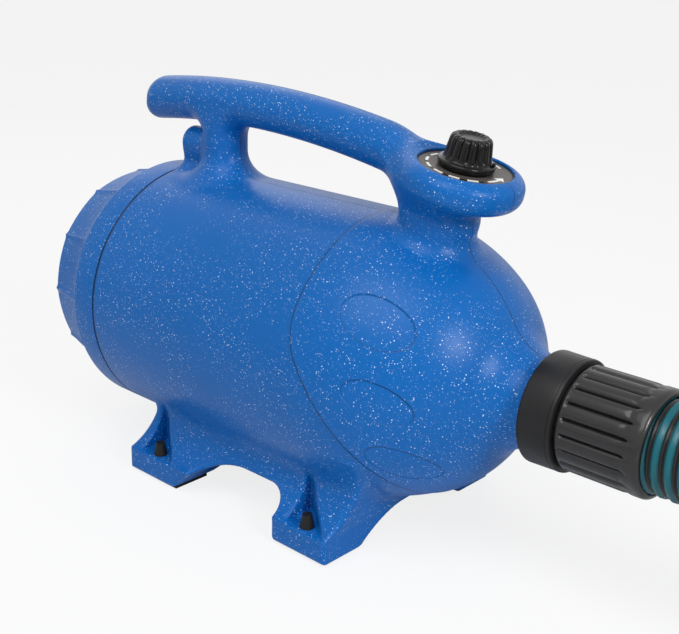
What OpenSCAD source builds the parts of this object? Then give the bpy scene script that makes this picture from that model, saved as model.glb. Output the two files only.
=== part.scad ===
// Portable pet dryer: a two-stage blower in a moulded clamshell barrel that stands on four
// rubber feet, with a carrying handle, a speed knob and a ribbed hose on its outlet.
// X runs forwards to the outlet, Y to the dryer's left, Z up. The origin is on the floor,
// below the middle of the dryer without its hose.

/* [Barrel] */
// Diameter over the front shell, which is the width of the dryer
body_d = 165.1; // [137:0.1:200]
// Length of the straight barrel, from the inlet cap to the start of the dome
barrel_len = 166; // [140:1:200]
// Length of the inlet cap
cap_len = 57.8; // [50:0.1:70]
// Half length of the dome's oval
dome_len = 98.8; // [83:0.1:110]
// From the start of the dome to the front of the outlet collar
outlet_reach = 131.8; // [120:0.1:158]
// Height of the barrel's underside over the floor
ground_gap = 17.45; // [14:0.05:30]
// Wall of the moulded housing
wall = 3; // [2.5:0.1:3.6]
// How far the front shell stands proud of the barrel
crease_step = 0.8; // [0.4:0.1:1.2]
// How much tighter the nose's arc is than the barrel's radius
nose_ease = 6.55; // [5:0.05:8]
// How far the blue neck at the outlet stands over its spout
neck_step = 1.3; // [1:0.1:3]
// Radius of the blend from the dome to the neck
neck_blend = 14; // [11:0.5:16]

/* [Handle] */
// Height of the handle's top over the barrel
handle_rise = 58.75; // [52:0.25:75]
// Radius of the handle's grip
grip_r = 13.6; // [11.5:0.1:14.5]
// Rear post behind the start of the barrel
rear_post_x = 32.3; // [30:0.1:45]
// Radius of the rear post
rear_post_r = 14; // [12:0.5:15]
// How far the grip runs on behind the rear post
grip_overhang = 60; // [50:1:70]
// Control neck behind the start of the dome
control_x = 35; // [30:0.5:42]
// Radius of the control neck
control_r = 21.4; // [20:0.1:24]
// Radius of the blends at the foot of the posts
post_blend = 15; // [10:1:18]

/* [Controls] */
// Radius of the dial plate
dial_r = 25.6; // [22:0.1:28]
// Width of the moulded rim round the dial plate
bezel_w = 7.4; // [5:0.1:9]
// Forward tilt of the control head
head_tilt = 10.7; // [0:0.1:20]
// How far the control head stands ahead of its neck
head_ahead = 15.5; // [10:0.5:20]
// Radius of the knob's skirt
knob_skirt_r = 15.3; // [13:0.1:17]
// Radius of the knob's grip at its foot
knob_r = 12.8; // [11:0.1:14]
// Height of the knob over the dial plate
knob_h = 19; // [15:0.5:24]
// Number of flutes round the knob
knob_flutes = 16; // [8:1:18]

/* [Feet] */
// Length of each foot along the dryer
foot_len = 42; // [36:1:46]
// Length of the arch between the front and the rear feet
foot_span = 85; // [75:1:110]
// Rear feet ahead of the start of the barrel
foot_x = 26; // [20:1:30]
// Width of each foot across the dryer
foot_w = 31; // [27:1:36]
// How far the feet stay inside the width of the barrel
foot_inset = 5.5; // [2:0.5:8]
// Height of each foot's flat pocket floor
foot_h = 16; // [14:0.5:20]
// Height of the rubber pads
pad_h = 9; // [6:0.5:11]

/* [Outlet and hose] */
// Length of the black outlet collar
collar_len = 19.2; // [16:0.1:24]
// Wall of the outlet collar
collar_wall = 6.4; // [5:0.1:9]
// Radius of the airway through the outlet neck
airway_r = 21.5; // [18:0.1:26]
// Length of the ribbed cuff outside the collar
cuff_len = 47; // [40:1:60]
// Wall of the cuff over the hose, with its ribs
cuff_cover = 3.5; // [3:0.1:6]
// Number of ribs round each cuff
cuff_ribs = 20; // [12:1:24]
// Outer diameter of the hose over its ribs
hose_d = 49; // [44:1:49]
// Inner diameter of the hose
hose_bore = 40; // [34:1:41]
// Depth of the hose's folds
hose_fold = 2.2; // [1:0.1:2.5]
// Length of the nozzle beyond its cuff
nozzle_len = 92; // [60:1:110]
// Outer radius of the nozzle's tip
nozzle_tip_r = 14; // [10:0.5:18]

/* [Motor and fan] */
// Rubber round the fan shell, between it and the barrel
gasket_t = 6.75; // [5:0.25:10]
// Length of the fan shell
fan_len = 58; // [58:1:64]
// From the armature out to the rim of the stator stack
field_depth = 20; // [16:0.5:26]
// Length of the stator stack
stator_len = 40; // [34:1:44]
// Radius of the armature
armature_r = 24; // [20:0.5:28]
// Radius of the motor shaft
shaft_r = 4; // [3:0.5:5]
// Blades in each impeller
impeller_blades = 7; // [5:1:9]

/* [Fits] */
// Gap between parts that are pushed together by hand
push_gap = 0.3; // [0.2:0.05:0.5]
// Gap round a turning shaft
run_gap = 0.06; // [0.02:0.01:0.1]
// Gap between parts that are seated once
seat_gap = 0.1; // [0.05:0.05:0.3]

/* [Hidden] */
$fn = 72;
far = 400;

// Stations along the dryer
total_len = cap_len + barrel_len + outlet_reach;
rear_x = -total_len / 2;
gap_x = rear_x + cap_len;
dome_x = gap_x + barrel_len;
outlet_x = dome_x + outlet_reach;
collar_x = outlet_x - collar_len;

// Spout, neck and collar round the airway
spout_wall = 2.5;
spout_r = airway_r + spout_wall;
neck_r = spout_r + neck_step;
collar_r = spout_r + collar_wall;

// Barrel and dome
out_r = body_d / 2;
barrel_r = out_r - crease_step;
bore_r = barrel_r - wall;
axis_z = ground_gap + out_r;
nose_r = out_r - nose_ease;
shoulder_r = ((dome_len - nose_r) ^ 2 + out_r ^ 2 - nose_r ^ 2) / (2 * (out_r - nose_r));
nose_x = dome_x + dome_len - nose_r;
blend_x = nose_x + sqrt((nose_r + neck_blend) ^ 2 - (neck_r + neck_blend) ^ 2);

// Handle
grip_z = axis_z + out_r + handle_rise - grip_r;
post_x = gap_x + rear_post_x;
neck_x = dome_x + control_x;
head_x = neck_x + head_ahead;
head_z = grip_z - 13.05;
head_r = dial_r + bezel_w;
head_h = 18;
head_edge_r = 8;
rim_h = 1.5;
head_floor = 4.6;
dial_t = 1.6;
grip_bend = 640;
grip_top_x = post_x + 21.7;
grip_end_r = 9;
grip_corner = 7;
neck_corner = 20;
gland_z = axis_z + out_r + 15.5;
gland_reach = rear_post_r + 17.5;
gland_boss_r = 10;
gland_r = 6.1;

// Sweep of the front shell's edge
crease_x = dome_x - 1;
sweep_reach = 52;
sweep_side = [[0, 43], [2.5, 31], [7, 19.5], [sweep_reach, -45.4]];

// Feet
foot_y = out_r - foot_inset;
rear_foot_x = gap_x + foot_x;
front_foot_x = rear_foot_x + foot_len + foot_span;
foot_end_x = front_foot_x + foot_len;
sole_z = 1;
skirt_top = axis_z - out_r + 27;
skirt_y = 58;
flank_r = ((foot_y - skirt_y) ^ 2 + (skirt_top - foot_h) ^ 2) / (2 * (foot_y - skirt_y));
under_y = foot_y - foot_w;
under_r = (under_y ^ 2 + (ground_gap - sole_z) ^ 2) / (2 * (ground_gap - sole_z));
arch_top = ground_gap + 9;
arch_run = 50;
arch_r = (arch_run ^ 2 + (arch_top - sole_z) ^ 2) / (2 * (arch_top - sole_z));
arch_corner = 14;
pocket_rib = 10;
pocket_depth = 24;

// Inlet cap
cap_gap = 0.5;
cap_band = 19;
cap_skirt_x = gap_x - cap_gap - cap_band;
cap_skirt_r = barrel_r - 1.6;
cap_end_r = out_r - 12.2;
cap_round = 2.5;
cap_wall = 2.6;
cap_flat = 2.4;
spigot_r = bore_r - push_gap;
spigot_len = 6;
inlet_r = out_r - 30.5;
grille_inset = 3.8;
grille_t = 3;
grille_bar = 2;
cup_r = inlet_r + 6.2;
cup_len = 13;

// Outlet, cuffs and nozzle
spout_len = collar_len - 4.2;
collar_lip = 3.8;
hose_r = hose_d / 2;
cuff_r = hose_r + cuff_cover;
spigot_depth = 19.8;
spigot_lip = 1.2;
socket_len = 13.8;
cuff_wall = 2.8;
lip_r = 3;
rib_h = 1.2;
rib_gap = 1.5;
rib_start = 3;
rib_len = cuff_len - 17;
nozzle_r = airway_r + 3.5;
tip_len = 24;

// Route of the hose: out of the cuff, down to the floor in one neat coil, and under itself to the nozzle
free_ribs = 33;
coil_ribs = 167;
free_reach = 334;
hose_z = hose_r + 0.15;
hose_x = outlet_x + cuff_len - socket_len;
coil_x = hose_x + free_reach;
coil_r = 245;
tail_r = 300;
tail_x = coil_x - coil_r + tail_r;
tail_y = coil_r - tail_r;
tail_len = 85;
nozzle_x = tail_x + tail_len + cuff_len - socket_len + 2 * seat_gap;
drop_from = 169;
drop_len = 400;
// Height of the hose's middle, a distance along the route
function drop_z(s) =
  hose_z + (axis_z - hose_z) * (1 + cos(180 * min(1, max(0, (s - drop_from) / drop_len)))) / 2;
free_route = [for (x = [0, 40, 80, 120, 169, 205, 240, 275, 305, free_reach]) [hose_x + x, 0, drop_z(x)]];
coil_route = concat(
  [for (a = [13.5 : 13.5 : 270])
    [coil_x + coil_r * sin(a), coil_r - coil_r * cos(a), drop_z(free_reach + coil_r * a * PI / 180)]],
  [for (a = [281.25 : 11.25 : 360]) [tail_x + tail_r * sin(a), coil_r - tail_r * cos(a), hose_z]],
  [for (p = [[28, 0.5], [56, 1], [tail_len, 1]]) [tail_x + p[0], tail_y, hose_z + (cuff_r - hose_z) * p[1]]]);

// Dial, knob and potentiometer, over and under the dial plate's top
mark_count = 10;
mark_first = -132;
mark_step = 27.3;
mark_span = 16;
mark_r = 20.5;
mark_w = 1.5;
mark_t = 0.3;
arrow_turn = -95;
arrow_span = 26;
pointer_turn = -68;
knob_lift = 0.5;
skirt_h = 3.5;
knob_top_r = knob_r - 2;
flute_r = 3;
dish_r = 30;
nut_r = 7;
nut_h = 2.2;
bush_r = 4.5;
pot_r = 8.5;
pot_z = -12.6;
pot_shaft_r = 3;
pot_shaft_top = 15;

// Fan and motor, from the rear to the front
stator_r = armature_r + field_depth;
fan_r = bore_r - gasket_t;
fan_x = gap_x + 16;
fan_end_x = fan_x + fan_len;
sheet = 1.2;
impeller_r = fan_r - 8;
impeller_h = 15;
first_x = fan_x + 2;
stage_x = first_x + impeller_h + 1.4;
stage_len = 11.6;
second_x = stage_x + stage_len + 1;
hub_r = 9;
hub_gap = 0.02;
spacer_r = 8;
eye_r = 26;
base_t = 8;
bearing_r = 11;
bearing_w = 7;
nose_bearing_r = 9.5;
nose_bearing_w = 6;
base_x = fan_end_x - base_t;
stator_x = fan_end_x + 22;
frame_t = 2.5;
frame_r = stator_r + frame_t;
frame_end_x = stator_x + stator_len + 34;
commutator_x = stator_x + stator_len + 9;
commutator_len = 15;
commutator_r = 13;
nose_bearing_x = frame_end_x - 2;
shaft_end_x = nose_bearing_x + nose_bearing_w + 4;
boss_r = nose_bearing_r + 4;
brush_x = commutator_x + commutator_len / 2;
brush_l = 8;
brush_w = 7;
brush_h = 14;
frame_wall = 4;
boss_len = 7;
gap_r = armature_r + 0.6;
shoe_t = 2.6;
yoke_t = 6;
pole_half = 11;
coil_w = 6;
coil_seat = 0.3;
coil_room = 0.93;
coil_h = sqrt((stator_r - yoke_t) ^ 2 - (pole_half + coil_seat + coil_w) ^ 2) - gap_r - shoe_t - coil_seat - coil_room;
slot_ring_r = armature_r - 5.6;
slot_r = 2.6;
winding_h = 9;
shaft_start_x = first_x - 6;
hub_ring_r = boss_r + 4.5;
gasket_len = 14;
cushion_t = 6;
bracket_x = frame_end_x + 2;
bracket_t = 5;
bracket_gap = 0.5;

// Board under the control neck, and the screws that join the halves
board_z = axis_z + bore_r - 18.75;
board_half = 24;
screw_seat = 9;
screw_r = 1.9;
board_x = max(neck_x - 21, bracket_x + bracket_t + 3);
board_len = 33;
board_t = 1.6;
sink_len = 17;
sink_w = 26;
sink_fin = 1.2;
sink_h = 14;
stem_r = 3.2;
stem_in = 6.5;

// Ring that lies along the X axis, about the barrel's axis
module on_axis(x = 0) {
  translate([x, 0, axis_z]) rotate([0, 90, 0]) children();
}

module tube(x, len, r, hole = 0) {
  on_axis(x) rotate(45) difference() {
    cylinder(h = len, r = r);
    if (hole > 0) translate([0, 0, -1]) cylinder(h = len + 2, r = hole);
  }
}

// ---- Barrel and dome ----

// Outline of the barrel and dome as radius against X, shrunk inwards by an inset
module body_outline(inset, rear) {
  big = shoulder_r - inset;
  meet_x = dome_x + big * (nose_x - dome_x) / (shoulder_r - nose_r);
  translate([0, rear]) square([out_r - inset, dome_x - rear]);
  intersection() {
    translate([out_r - shoulder_r, dome_x]) circle(r = big, $fn = 144);
    translate([0, dome_x]) square([out_r, meet_x - dome_x]);
  }
  intersection() {
    translate([0, nose_x]) circle(r = nose_r - inset, $fn = 144);
    translate([0, meet_x]) square([out_r, 2 * nose_r]);
  }
}

// Hollow blend from the dome to the neck, and the neck itself
module neck_outline() {
  centre = [neck_r + neck_blend, blend_x];
  touch = [0, nose_x] + (centre - [0, nose_x]) * nose_r / (nose_r + neck_blend);
  difference() {
    polygon([[0, nose_x], touch, centre, [neck_r, blend_x], [0, blend_x]]);
    translate(centre) circle(r = neck_blend, $fn = 96);
  }
  translate([0, blend_x]) square([neck_r, collar_x - blend_x]);
}

module turned() {
  on_axis() rotate(45) rotate_extrude($fn = 144) children();
}

// The proud front shell starts upright over the axis and sweeps forwards below it
module front_region() {
  rotate([90, 0, 0]) linear_extrude(2 * far, center = true)
    polygon(concat([for (p = sweep_side) [crease_x + p[0], axis_z + p[1]]],
                   [[crease_x + sweep_reach, -1], [far, -1], [far, far], [crease_x, far]]));
}

module barrel_form() {
  turned() body_outline(crease_step, gap_x);
  intersection() {
    turned() {
      body_outline(0, dome_x - 5);
      neck_outline();
    }
    front_region();
  }
  tube(collar_x - 1, spout_len + 1, spout_r);
}

module barrel_hollow() {
  turned() body_outline(crease_step + wall, gap_x - 1);
  tube(nose_x, far, airway_r);
}

// ---- Handle and control head ----

// Height of the housing's skin over the barrel's middle line, for a blend to lie on
function skin_r(x) =
  x <= dome_x ? out_r :
  let (big = shoulder_r, meet = dome_x + big * (nose_x - dome_x) / (shoulder_r - nose_r))
  x < meet ? out_r - shoulder_r + sqrt(big ^ 2 - (x - dome_x) ^ 2) :
  sqrt(nose_r ^ 2 - (x - nose_x) ^ 2);
function skin_z(x, y) = axis_z + sqrt(skin_r(x) ^ 2 - y ^ 2);

// Hollow blend that lies on the barrel all round the foot of an upright post
module post_foot(x, r, skin) {
  sides = 32;
  steps = 5;
  sunk = 1;
  rings = [for (i = [0 : steps]) let (a = 90 * i / steps)
    [for (k = [0 : sides - 1]) let (b = 360 * k / sides, q = r - sunk + (post_blend + sunk) * (1 - cos(a)))
      [x + q * cos(b), q * sin(b), skin_z(x + q * cos(b), q * sin(b)) + post_blend * (1 - sin(a)) - skin]]];
  low = [for (k = [0 : sides - 1]) let (b = 360 * k / sides, q = r + post_blend)
    [x + q * cos(b), q * sin(b), skin_z(x + q * cos(b), q * sin(b)) - 3]];
  all_rings = concat(rings, [low]);
  points = concat([for (ring = all_rings) each ring],
                  [[x, 0, skin_z(x, 0) + post_blend - skin], [x, 0, skin_z(x, 0) - 8]]);
  last = len(all_rings) - 1;
  faces = concat(
    [for (i = [0 : last - 1], k = [0 : sides - 1]) let (n = (k + 1) % sides)
      each [[i * sides + k, i * sides + n, (i + 1) * sides + n], [i * sides + k, (i + 1) * sides + n, (i + 1) * sides + k]]],
    [for (k = [0 : sides - 1]) [len(points) - 2, (k + 1) % sides, k]],
    [for (k = [0 : sides - 1]) [len(points) - 1, last * sides + k, last * sides + (k + 1) % sides]]);
  polyhedron(points, faces);
}

function grip_height(x) = grip_z - grip_bend + sqrt(grip_bend ^ 2 - (x - grip_top_x) ^ 2);

// Long arc of the grip between two stations
module grip_arc(r, from_x, to_x) {
  a = asin((from_x - grip_top_x) / grip_bend);
  b = asin((to_x - grip_top_x) / grip_bend);
  translate([grip_top_x, 0, grip_z - grip_bend]) rotate([90, 0, 0]) rotate([0, 0, 90 - b])
    rotate_extrude(angle = b - a, $fn = 720) translate([grip_bend, 0]) rotate(90) circle(r = r);
}

// Quarter turn from the grip down into a post, on the post's front or rear side
module elbow(x, bend, r, side) {
  translate([x + side * bend, 0, grip_height(x + side * bend) - bend]) rotate([90, 0, 0])
    rotate([0, 0, side > 0 ? 90 : 0]) rotate_extrude(angle = 90) translate([bend, 0]) rotate(90) circle(r = r);
}

module post(x, from_z, to_z, r) {
  translate([x, 0, from_z]) rotate(50) cylinder(h = to_z - from_z, r = r);
}

module on_head() {
  translate([head_x, 0, head_z]) rotate([0, head_tilt, 0]) rotate(90) children();
}

// Thick round-edged head that the dial plate lies in
module head_form() {
  edge = head_edge_r;
  on_head() rotate_extrude($fn = 96) {
    translate([0, rim_h - head_h]) square([head_r - edge, head_h]);
    translate([0, rim_h - head_h + edge]) square([head_r, head_h - 2 * edge]);
    translate([head_r - edge, rim_h - edge]) circle(r = edge);
    translate([head_r - edge, rim_h - head_h + edge]) circle(r = edge);
  }
}

// The grip with its rear end rounded off
module grip_form() {
  end_x = post_x - grip_overhang - rear_post_r + grip_end_r;
  ease = 0.4;
  corner = grip_end_r + ease;
  difference() {
    grip_arc(grip_r, end_x - 2 * corner, head_x - 8);
    translate([end_x, 0, grip_height(end_x)]) rotate([0, asin((end_x - grip_top_x) / grip_bend) - 90, 0])
      rotate(90) rotate_extrude() difference() {
        square([2 * grip_r, 3 * corner]);
        translate([0, -1]) square([grip_r + ease - corner, corner + 1]);
        translate([grip_r + ease - corner, 0]) circle(r = corner);
      }
  }
}

module handle_form() {
  grip_form();
  post(post_x, axis_z + out_r - 12, grip_z, rear_post_r);
  elbow(post_x, grip_corner + grip_r, grip_r - 0.6, 1);
  elbow(post_x, grip_corner + grip_r, grip_r - 0.6, -1);
  post_foot(post_x, rear_post_r, crease_step + 0.4);
  post(neck_x, axis_z + out_r / 2, head_z - 12, control_r);
  elbow(neck_x - control_r + grip_r - 0.6, neck_corner + grip_r, grip_r - 0.6, -1);
  post_foot(neck_x, control_r, 0.4);
  head_form();
  // Boss for the power cord's gland, behind the rear post
  translate([post_x, 0, gland_z]) rotate([0, -90, 0]) rotate(90) {
    cylinder(h = gland_reach - 3, r = gland_boss_r);
    translate([0, 0, gland_reach - 3]) rotate_extrude() {
      square([gland_boss_r - 3, 3]);
      intersection() {
        translate([gland_boss_r - 3, 0]) circle(r = 3);
        square([gland_boss_r, 3]);
      }
    }
  }
}

module handle_hollow() {
  grip_arc(grip_r - wall - 0.6, post_x - grip_overhang, head_x - 26);
  post(post_x, axis_z + out_r - 12, grip_z, rear_post_r - wall);
  post(neck_x, axis_z + out_r / 2, head_z - 12, control_r - wall);
  on_head() translate([0, 0, -head_h + rim_h + 3]) cylinder(h = head_h - rim_h - 3 - head_floor, r = 17);
}

// ---- Feet ----

function foot_start(front) = front ? front_foot_x : rear_foot_x;

// Side outline of the feet and the arch between them
module feet_side() {
  span_x = rear_foot_x + foot_len;
  difference() {
    polygon([[rear_foot_x, sole_z], [foot_end_x, sole_z], [foot_end_x, foot_h],
             [foot_end_x + 6, skirt_top], [rear_foot_x + 6, skirt_top], [rear_foot_x, foot_h]]);
    intersection() {
      translate([span_x + arch_run, arch_top - arch_r]) circle(r = arch_r, $fn = 144);
      translate([span_x, -1]) square([arch_run, far]);
    }
    translate([span_x + arch_run, -1]) square([foot_span - arch_run - arch_corner, arch_top + 1]);
    translate([front_foot_x - arch_corner, -1]) square([arch_corner, arch_top - arch_corner + 1]);
    translate([front_foot_x - arch_corner, arch_top - arch_corner]) circle(r = arch_corner);
  }
}

// Front outline of the feet: hollow flanks outside, one low arch between left and right
module feet_front() {
  difference() {
    translate([-foot_y, sole_z]) square([2 * foot_y, skirt_top - sole_z]);
    for (s = [-1, 1]) translate([s * (skirt_y + flank_r), skirt_top]) circle(r = flank_r, $fn = 96);
    translate([0, ground_gap - under_r]) circle(r = under_r, $fn = 144);
    translate([-foot_y + foot_w, -1]) square([2 * (foot_y - foot_w), 3]);
  }
}

// Three-cornered pocket over a foot, open to the outside
module pocket(front, side) {
  x = foot_start(front) + pocket_rib;
  inner = foot_y - pocket_depth;
  translate([0, 0, foot_h]) linear_extrude(far / 8)
    polygon([[x, side * inner], [x, side * (foot_y + 2)], [foot_start(front) + foot_len + 3, side * (foot_y + 2)],
             [foot_start(front) + foot_len - 2, side * (foot_y - 1)]]);
}

// Rubber pad, or with a gap the pocket that it sits in, open towards the arch
module pad(front, side, gap = 0) {
  inset = 3 - gap;
  from_x = foot_start(front) + (front ? 0.4 - gap - (gap > 0 ? 1 : 0) : 4 - gap);
  to_x = foot_start(front) + foot_len - (front ? 4 - gap : 0.4 - gap - (gap > 0 ? 1 : 0));
  from_y = side > 0 ? foot_y - foot_w + inset : -foot_y + inset;
  translate([from_x, from_y, gap > 0 ? -1 : 0])
    cube([to_x - from_x, foot_w - 2 * inset, pad_h + (gap > 0 ? 1 + gap : 0)]);
}

module feet_form() {
  intersection() {
    rotate([90, 0, 0]) linear_extrude(2 * far, center = true) feet_side();
    rotate([90, 0, 90]) linear_extrude(2 * far, center = true) feet_front();
  }
}

module each_foot() {
  for (front = [false, true], side = [-1, 1])
    translate([foot_start(front) + foot_len / 2 + 2, side * (foot_y - stem_in), 0]) children();
}

// ---- Housing halves ----

module y_cylinder(x, z, y0, y1, r) {
  translate([x, y0, z]) rotate([-90, 0, 0]) cylinder(h = y1 - y0, r = r);
}

screw_spots = [[post_x - 52, grip_height(post_x - 52)], [(post_x + neck_x) / 2 + 6, grip_height((post_x + neck_x) / 2 + 6)],
               [stator_x + 24, axis_z + bore_r - 7], [stator_x + 24, axis_z - bore_r + 7],
               [dome_x + 66, axis_z + 50], [dome_x + 66, axis_z - 50]];

module screw_bosses(side) {
  for (s = screw_spots)
    y_cylinder(s[0], s[1], side < 0 ? -far / 4 : 0, side < 0 ? 0 : far / 4, side < 0 ? 4.6 : 6.6);
}

module inner_ribs() {
  tube(fan_end_x, 4, bore_r + 1, fan_r - 4);
  tube(fan_x - cushion_t - 3, 3, bore_r + 1, fan_r - 4);
  tube(bracket_x - 2.6, 2.5, bore_r + 1, bore_r - 6);
  tube(bracket_x + bracket_t + seat_gap, 2.5, bore_r + 1, bore_r - 6);
  // Ledges with a slot for the board's edges
  difference() {
    for (x = [board_x + 2, board_x + board_len - 5], s = [-1, 1])
      translate([x, s > 0 ? board_half - 3 : -far / 4, board_z - 5]) cube([3, far / 4 - board_half + 3, 11]);
    translate([board_x - seat_gap, -board_half - seat_gap, board_z - seat_gap])
      cube([board_len + 2 * seat_gap, 2 * (board_half + seat_gap), board_t + 2 * seat_gap]);
  }
}

// Whatever lies on one side of the joint between the two halves
module one_side(side) {
  intersection() {
    children();
    translate([-far, side > 0 ? 0 : -far, -far]) cube([2 * far, far, 3 * far]);
  }
}

module housing_half(side) {
  difference() {
    union() {
      difference() {
        union() {
          one_side(side) barrel_form();
          one_side(side) difference() {
            difference() {
              feet_form();
              pocket(false, side);
            }
            pocket(true, side);
          }
          one_side(side) handle_form();
        }
        barrel_hollow();
        handle_hollow();
      }
      one_side(side) intersection() {
        union() {
          inner_ribs();
          screw_bosses(side);
        }
        union() {
          turned() body_outline(crease_step + wall / 2, gap_x);
          grip_arc(grip_r - wall / 2, post_x - grip_overhang, head_x - 26);
        }
      }
    }
    for (s = screw_spots) {
      y_cylinder(s[0], s[1], -14, far, screw_r + seat_gap);
      y_cylinder(s[0], s[1], screw_seat, far, 2 * screw_r + 0.6);
    }
    for (front = [false, true]) pad(front, side, seat_gap);
    each_foot() cylinder(h = foot_h + 3, r = stem_r + seat_gap);
    on_head() {
      translate([0, 0, -dial_t]) cylinder(h = far, r = dial_r + seat_gap);
      translate([0, 0, -head_h]) cylinder(h = head_h, r = bush_r + seat_gap);
    }
    translate([post_x, 0, gland_z]) rotate([0, -90, 0]) rotate(90) cylinder(h = far, r = gland_r + seat_gap);
  }
}

module housing_right() {
  color("royalblue") housing_half(-1);
}

module housing_left() {
  color("royalblue") housing_half(1);
}

// ---- Inlet cap ----

// Radius a share of the way down the cap's hollow taper
function skirt_radius(s) = cap_skirt_r - (cap_skirt_r - cap_end_r) * s ^ 0.6;

// Points down the cap's hollow taper, as radius against X
function skirt_points(inset, end_x) = [for (i = [0 : 8]) let (s = i / 8)
  [skirt_radius(s) - inset, cap_skirt_x - s * (cap_skirt_x - end_x)]];

module cap_outline() {
  end_x = rear_x + cap_round;
  polygon(concat([[0, end_x], [0, gap_x - cap_gap], [barrel_r, gap_x - cap_gap], [barrel_r, cap_skirt_x]],
                 skirt_points(0, end_x)));
  translate([0, rear_x]) square([cap_end_r - cap_round, 2 * cap_round]);
  translate([cap_end_r - cap_round, end_x]) circle(r = cap_round);
}

module cap_cavity() {
  end_x = rear_x + grille_inset;
  inner = spigot_r - cap_wall;
  polygon(concat([[0, end_x], [0, gap_x + far], [inner, gap_x + far], [inner, cap_skirt_x]],
                 skirt_points(cap_wall + cap_flat, end_x)));
}

// Twelve flats round the taper leave a ridge between each two
module cap_flats() {
  flat_x = cap_skirt_x - 6.5;
  flat_r = skirt_radius((cap_skirt_x - flat_x) / (cap_skirt_x - rear_x));
  lean = atan2(flat_r - cap_end_r + cap_flat, flat_x - rear_x);
  translate([0, 0, axis_z]) for (k = [0 : 11]) rotate([30 * k + 15, 0, 0])
    translate([flat_x, 0, flat_r]) rotate([0, -lean, 0])
      translate([-far / 4, -far / 4, 0]) cube([far / 4, far / 2, far / 8]);
}

module rear_cap() {
  color("royalblue") difference() {
    union() {
      difference() {
        union() {
          turned() cap_outline();
          tube(gap_x - cap_gap - 1, spigot_len + 1, spigot_r);
        }
        turned() cap_cavity();
        cap_flats();
      }
      tube(rear_x + grille_inset - 1, cup_len + 1, cup_r + 2, cup_r);
    }
    tube(rear_x - 1, 10, inlet_r);
  }
}

// Guard of rings and spokes behind the cap's opening
module inlet_grille() {
  x = rear_x + grille_inset;
  color("dimgray") {
    for (r = [12 : 10 : inlet_r]) tube(x, grille_t, r, r - grille_bar);
    tube(x, grille_t, cup_r - seat_gap, inlet_r - 2);
    on_axis(x) for (k = [0 : 5]) rotate(60 * k) translate([0, -grille_bar / 2, 0])
      cube([inlet_r - 1, grille_bar, grille_t]);
  }
}

module inlet_filter() {
  color("slategray") tube(rear_x + grille_inset + grille_t, cup_len - grille_t - 1, cup_r - seat_gap);
}

// ---- Outlet, hose and nozzle ----

module outlet_collar() {
  inside = spout_r + seat_gap;
  color("#1c1c1e") turned() polygon([
    [inside, collar_x], [collar_r - 0.8, collar_x], [collar_r, collar_x + 0.8], [collar_r - 0.9, outlet_x - 3],
    [collar_r - 0.4, outlet_x - 2.4], [collar_r - 0.4, outlet_x - 0.8], [collar_r - 1.2, outlet_x],
    [airway_r, outlet_x], [airway_r, outlet_x - collar_lip], [inside, outlet_x - collar_lip]]);
}

// Ribbed rubber cuff: a spigot behind its shoulder, and a socket for the hose in front
module cuff() {
  spigot = airway_r - push_gap;
  difference() {
    rotate_extrude() {
      translate([0, -spigot_depth]) square([spigot, spigot_depth + 1]);
      translate([0, seat_gap]) square([cuff_r - 1, 2]);
      translate([0, 1]) square([cuff_r, cuff_len - lip_r - 1]);
      translate([0, cuff_len - 2 * lip_r]) square([cuff_r - lip_r, 2 * lip_r]);
      translate([cuff_r - lip_r, cuff_len - lip_r]) circle(r = lip_r);
    }
    translate([0, 0, -spigot_depth - 1]) cylinder(h = far, r = spigot - cuff_wall);
    cylinder(h = far, r = spigot - spigot_lip);
    translate([0, 0, cuff_len - socket_len]) cylinder(h = far, r = hose_r + seat_gap);
    for (k = [0 : cuff_ribs - 1]) rotate(360 / cuff_ribs * (k + 0.5)) {
      translate([cuff_r - rib_h, -rib_gap / 2, rib_start]) cube([5, rib_gap, rib_len]);
      translate([cuff_r - rib_h, 0, rib_start + rib_len]) rotate([0, 90, 0]) cylinder(h = 5, r = rib_gap / 2);
    }
  }
}

module hose_cuff() {
  color("#1c1c1e") on_axis(outlet_x) cuff();
}

// Smooth curve through the route's points, cut into short steps
function curve_point(a, b, c, d, t) =
  ((2 * b) + (c - a) * t + (2 * a - 5 * b + 4 * c - d) * t ^ 2 + (3 * b - a - 3 * c + d) * t ^ 3) / 2;
function curve(route, n) = concat(
  [for (i = [0 : len(route) - 2], j = [0 : n - 1])
    curve_point(route[max(i - 1, 0)], route[i], route[i + 1], route[min(i + 2, len(route) - 1)], j / n)],
  [route[len(route) - 1]]);
function runs(pts) = [for (i = 0, s = 0; i < len(pts);
  s = s + (i + 1 < len(pts) ? norm(pts[i + 1] - pts[i]) : 0), i = i + 1) s];

hose_pts = curve(concat(free_route, coil_route), 6);
hose_runs = runs(hose_pts);
hose_total = hose_runs[len(hose_runs) - 1];
free_len = hose_runs[6 * (len(free_route) - 1)];
hose_axes = [for (k = [0 : 2]) [for (i = [0 : len(hose_pts) - 1]) [hose_runs[i], hose_pts[i][k]]]];
function hose_at(s) = [for (k = [0 : 2]) lookup(s, hose_axes[k])];
function unit(v) = v / norm(v);

function hose_ring(s, r) =
  let (ahead = unit(hose_at(min(s + 1, hose_total)) - hose_at(max(s - 1, 0))),
       side = unit(cross([0, 0, 1], ahead)), up = cross(ahead, side))
  [for (j = [0 : 7]) hose_at(s) + r * (side * cos(45 * j) + up * sin(45 * j))];

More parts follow.
